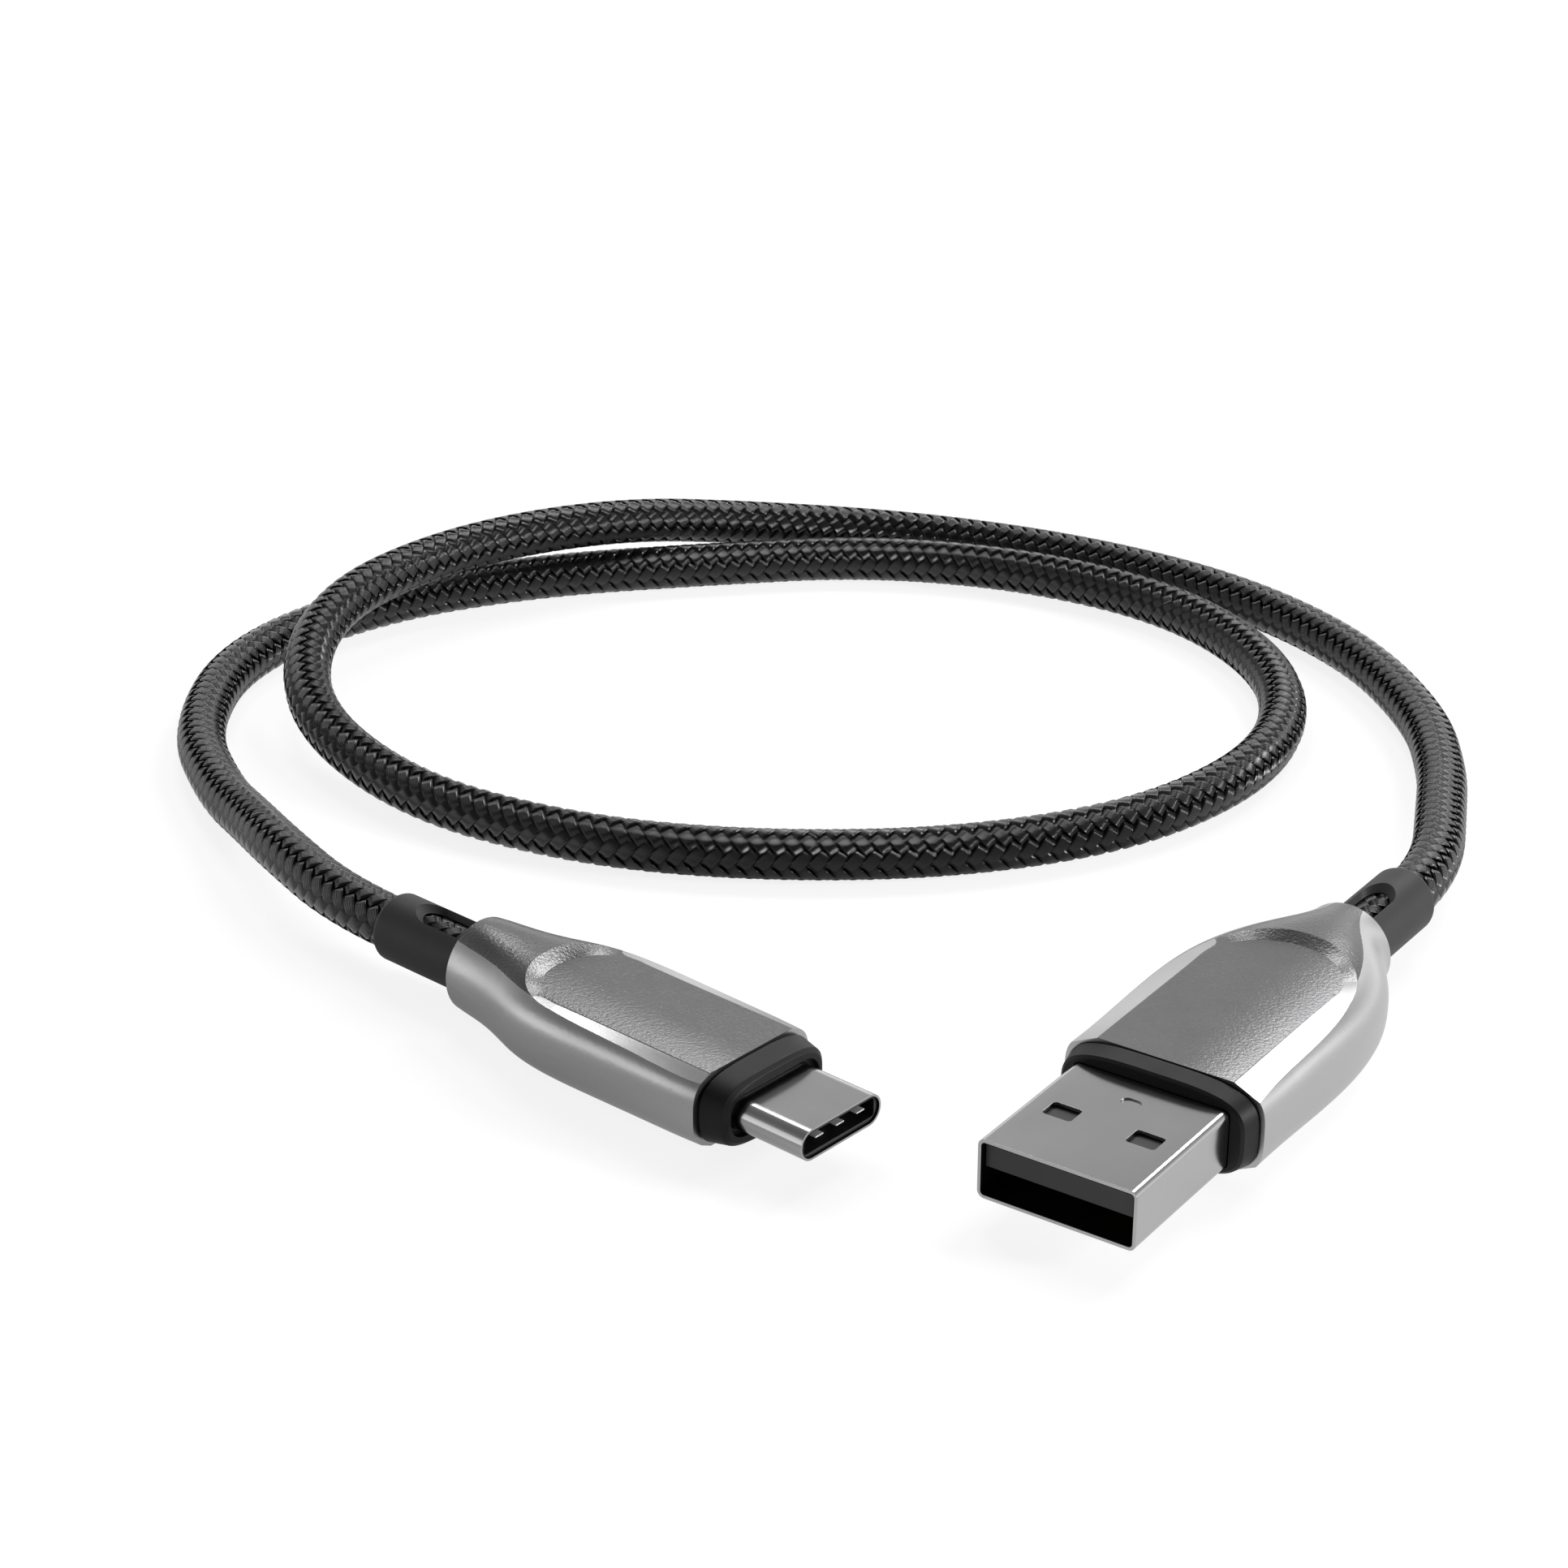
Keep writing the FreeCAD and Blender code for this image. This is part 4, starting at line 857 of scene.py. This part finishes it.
# The collars: rings of black moulded plastic round the shells. Each has a tapered
# band with a flat front, and behind it a spigot that fits in the housing's mouth.
COLLAR_EDGE = 0.00006
CHARGER_BORE = (0.00605, 0.0023, 0.00055)
CHARGER_SWELL = 3.6
PHONE_BORE = (0.00415, 0.00122, 0.0012)
PHONE_SWELL = 3.3
# The sections go from the spigot's rear forward over the outside and into the front.
COLLAR_SECTIONS = {
    "charger": [
        (0.0165, round_cornered(*CHARGER_BORE)),
        (0.0165, soft_oblong(0.00715, 0.003, CHARGER_SWELL)),
        (0.0139, soft_oblong(0.00715, 0.003, CHARGER_SWELL)),
        (0.0139, soft_oblong(0.00742, 0.00343, CHARGER_SWELL)),
        (0.0125, soft_oblong(0.0071, 0.00322, CHARGER_SWELL)),
        (0.0123, soft_oblong(0.0069, 0.00305, CHARGER_SWELL)),
        (0.0123, round_cornered(*CHARGER_BORE)),
    ],
    "phone": [
        (0.01035, round_cornered(*PHONE_BORE)),
        (0.01035, soft_oblong(0.0054, 0.00245, PHONE_SWELL)),
        (0.0079, soft_oblong(0.0054, 0.00245, PHONE_SWELL)),
        (0.0079, soft_oblong(0.00555, 0.00284, PHONE_SWELL)),
        (0.0062, soft_oblong(0.00515, 0.00258, PHONE_SWELL)),
        (0.0059, soft_oblong(0.0048, 0.0023, PHONE_SWELL)),
        (0.0059, round_cornered(0.0045, 0.00162, 0.0014)),
        (0.0064, round_cornered(0.00448, 0.0016, 0.0014)),
        (0.0064, round_cornered(*PHONE_BORE)),
    ],
}

collar_plastic = finish(
    "collar_plastic", color=(0.004, 0.004, 0.0045), roughness=0.5,
    grain=7000, color_spread=0.4, bump=0.15, specular=0.27,
)
for plug, sections in COLLAR_SECTIONS.items():
    collar = lofted_ring("%s_plug_collar_skin" % plug, plug, sections, COLLAR_EDGE)
    collar.data.materials.append(collar_plastic)
    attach(collar, "root")
    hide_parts("%s_plug_collar" % plug)


# The boots: strain reliefs of soft black rubber, moulded on the cord behind each
# housing, with a window on each side that shows the braid.
boot_rubber = finish(
    "boot_rubber", color=(0.025, 0.025, 0.026), roughness=0.55,
    grain=8000, bump=0.2, specular=0.35,
)
for plug in ("charger", "phone"):
    dress("%s_plug_boot" % plug, boot_rubber)


# The floor: a pale matt sheet, which the camera sees as white with a faint shadow.
# Gloss sees it bright, with painted shade in two places that only reflections show:
# one to the left of the slim plug, and a painted shadow under the loop's front strand.
FLOOR_SIZE = 3.0
FLOOR_GREY = 0.8
SHADOW_GREY = 0.22
SEEN_GLOW = 0.85
GLOSS_GLOW = 0.75
PAINTED_SHADE_DEPTH = 0.6
# A patch of painted shade is whole up to the first distance of a pair and gone at the second.
LEFT_PAINTED_SHADE = {"X": (-0.03, 0.012), "Y": (0.015, 0.025)}
STRAND_MIDDLE = 0.038
STRAND_PAINTED_SHADOW = {"X": (0.02, 0.03), "Y": (0.01, 0.016)}


def matt_shader(tree, grey):
    node = tree.nodes.new("ShaderNodeBsdfDiffuse")
    node.inputs["Color"].default_value = (grey, grey, grey, 1)
    return node.outputs[0]


def mix_shaders(tree, share, first, second):
    node = tree.nodes.new("ShaderNodeMixShader")
    for socket, source in zip(node.inputs, (share, first, second)):
        link(tree, source, socket)
    return node.outputs[0]


def painted_shade_share(tree, from_x, from_y, place):
    """One, and less by the painted shade where both distances are short of the place's limits."""
    shares = []
    for value, (start, end) in ((from_x, place["X"]), (from_y, place["Y"])):
        node = tree.nodes.new("ShaderNodeMapRange")
        node.inputs["From Min"].default_value = start
        node.inputs["From Max"].default_value = end
        node.inputs["To Min"].default_value = 1.0
        node.inputs["To Max"].default_value = 0.0
        link(tree, value, node.inputs["Value"])
        shares.append(node.outputs["Result"])
    return calculate(tree, "MULTIPLY_ADD", calculate(tree, "MULTIPLY", *shares), -PAINTED_SHADE_DEPTH, 1.0)


def floor_finish():
    material = bpy.data.materials.new("floor_paint")
    material.use_nodes = True
    tree = material.node_tree
    tree.nodes.clear()
    here = tree.nodes.new("ShaderNodeTexCoord")
    parts = tree.nodes.new("ShaderNodeSeparateXYZ")
    link(tree, here.outputs["Object"], parts.inputs[0])
    x, y = parts.outputs["X"], parts.outputs["Y"]
    from_strand = calculate(tree, "ABSOLUTE", calculate(tree, "SUBTRACT", y, STRAND_MIDDLE))
    # Painted shade in the floor's glow, which only gloss sees: a patch left of the slim plug and a
    # painted shadow under the front strand.
    left_painted_shade = painted_shade_share(tree, x, y, LEFT_PAINTED_SHADE)
    strand_painted_shadow = painted_shade_share(tree, calculate(tree, "ABSOLUTE", x), from_strand, STRAND_PAINTED_SHADOW)
    painted_shades = calculate(tree, "MULTIPLY", left_painted_shade, strand_painted_shadow)
    reflected = calculate(tree, "MULTIPLY", painted_shades, GLOSS_GLOW)

    rays = tree.nodes.new("ShaderNodeLightPath").outputs
    straight = calculate(tree, "MAXIMUM", rays["Is Camera Ray"], rays["Is Transmission Ray"])
    seen_or_glossy = calculate(tree, "MAXIMUM", straight, rays["Is Glossy Ray"])
    seen = calculate(tree, "MULTIPLY", straight, SEEN_GLOW)
    glow = tree.nodes.new("ShaderNodeEmission")
    link(tree, calculate(tree, "MAXIMUM", reflected, seen), glow.inputs["Strength"])
    shown = tree.nodes.new("ShaderNodeAddShader")
    link(tree, matt_shader(tree, SHADOW_GREY), shown.inputs[0])
    link(tree, glow.outputs[0], shown.inputs[1])
    choice = mix_shaders(tree, seen_or_glossy, matt_shader(tree, FLOOR_GREY), shown.outputs[0])
    link(tree, choice, tree.nodes.new("ShaderNodeOutputMaterial").inputs["Surface"])
    return material


bpy.ops.object.select_all(action="DESELECT")
bpy.ops.mesh.primitive_plane_add(size=FLOOR_SIZE, location=(0, 0, 0))
floor = bpy.context.active_object
floor.name = "floor"
floor.data.materials.append(floor_finish())


# The surround: the studio's walls and ceiling, white to the camera. To the object
# they are brightest low down and behind it, and a little brighter on its right.
SKY_STRENGTH = 1.9
# Greys and their places: from level, 0, to straight up, 1, and from front to back.
UPWARD_GREYS = [(0.1, 1.0), (0.42, 0.44), (0.7, 0.2)]
BACKWARD_GREYS = [(0.15, 0.14), (0.5, 0.46), (0.95, 0.75)]
LEFT_END = -0.2
RIGHT_END = 0.25
LEFT_SHARE = 1.08
RIGHT_SHARE = 1.25


def grey_ramp(tree, value, greys):
    """Greys along a value, each given with its place on it."""
    node = tree.nodes.new("ShaderNodeValToRGB")
    stops = node.color_ramp.elements
    stops[0].position = greys[0][0]
    stops[1].position = greys[-1][0]
    for place, _ in greys[1:-1]:
        stops.new(place)
    for stop, (_, grey) in zip(stops, greys):
        stop.color = (grey, grey, grey, 1)
    link(tree, value, node.inputs[0])
    return node.outputs["Color"]


def surround_finish():
    world = bpy.data.worlds.new("surround")
    world.use_nodes = True
    tree = world.node_tree
    tree.nodes.clear()
    way = tree.nodes.new("ShaderNodeTexCoord")
    parts = tree.nodes.new("ShaderNodeSeparateXYZ")
    link(tree, way.outputs["Generated"], parts.inputs[0])
    backward = calculate(tree, "MULTIPLY_ADD", parts.outputs["Y"], 0.5, 0.5)
    beside = tree.nodes.new("ShaderNodeMapRange")
    beside.inputs["From Min"].default_value = LEFT_END
    beside.inputs["From Max"].default_value = RIGHT_END
    beside.inputs["To Min"].default_value = LEFT_SHARE
    beside.inputs["To Max"].default_value = RIGHT_SHARE
    link(tree, parts.outputs["X"], beside.inputs["Value"])
    both_greys = tree.nodes.new("ShaderNodeVectorMath")
    both_greys.operation = "MULTIPLY"
    link(tree, grey_ramp(tree, parts.outputs["Z"], UPWARD_GREYS), both_greys.inputs[0])
    link(tree, grey_ramp(tree, backward, BACKWARD_GREYS), both_greys.inputs[1])
    shaded = tree.nodes.new("ShaderNodeVectorMath")
    shaded.operation = "SCALE"
    link(tree, both_greys.outputs[0], shaded.inputs[0])
    link(tree, beside.outputs["Result"], shaded.inputs["Scale"])

    sky = tree.nodes.new("ShaderNodeBackground")
    sky.inputs["Strength"].default_value = SKY_STRENGTH
    link(tree, shaded.outputs[0], sky.inputs["Color"])
    white = tree.nodes.new("ShaderNodeBackground")
    white.inputs["Color"].default_value = (1, 1, 1, 1)
    rays = tree.nodes.new("ShaderNodeLightPath").outputs
    seen = calculate(tree, "MAXIMUM", rays["Is Camera Ray"], rays["Is Transmission Ray"])
    choice = mix_shaders(tree, seen, sky.outputs[0], white.outputs[0])
    link(tree, choice, tree.nodes.new("ShaderNodeOutputWorld").inputs["Surface"])
    return world


bpy.context.scene.world = surround_finish()


# The lamps: four soft boxes that face the middle of the cable. One stands on each
# side and lights the flanks, and two stand high behind and light the panels.
LAMPS_FACE = Vector((0, 0.03, 0))


def soft_lamp(name, place, width, height, watts):
    data = bpy.data.lights.new(name, "AREA")
    data.shape = "RECTANGLE"
    data.size = width
    data.size_y = height
    data.energy = watts
    lamp = bpy.data.objects.new(name, data)
    lamp.location = place
    lamp.rotation_euler = (LAMPS_FACE - Vector(place)).to_track_quat("-Z", "Y").to_euler()
    bpy.context.scene.collection.objects.link(lamp)


soft_lamp("right_lamp", (0.69, -0.16, 0.25), width=0.14, height=0.14, watts=3.3)
soft_lamp("left_lamp", (-0.7, -0.08, 0.14), width=0.45, height=0.4, watts=0.42)
soft_lamp("back_right_lamp", (0.34, 0.44, 0.58), width=0.26, height=0.26, watts=2.4)
soft_lamp("back_middle_lamp", (-0.08, 0.46, 0.64), width=0.26, height=0.26, watts=1.6)
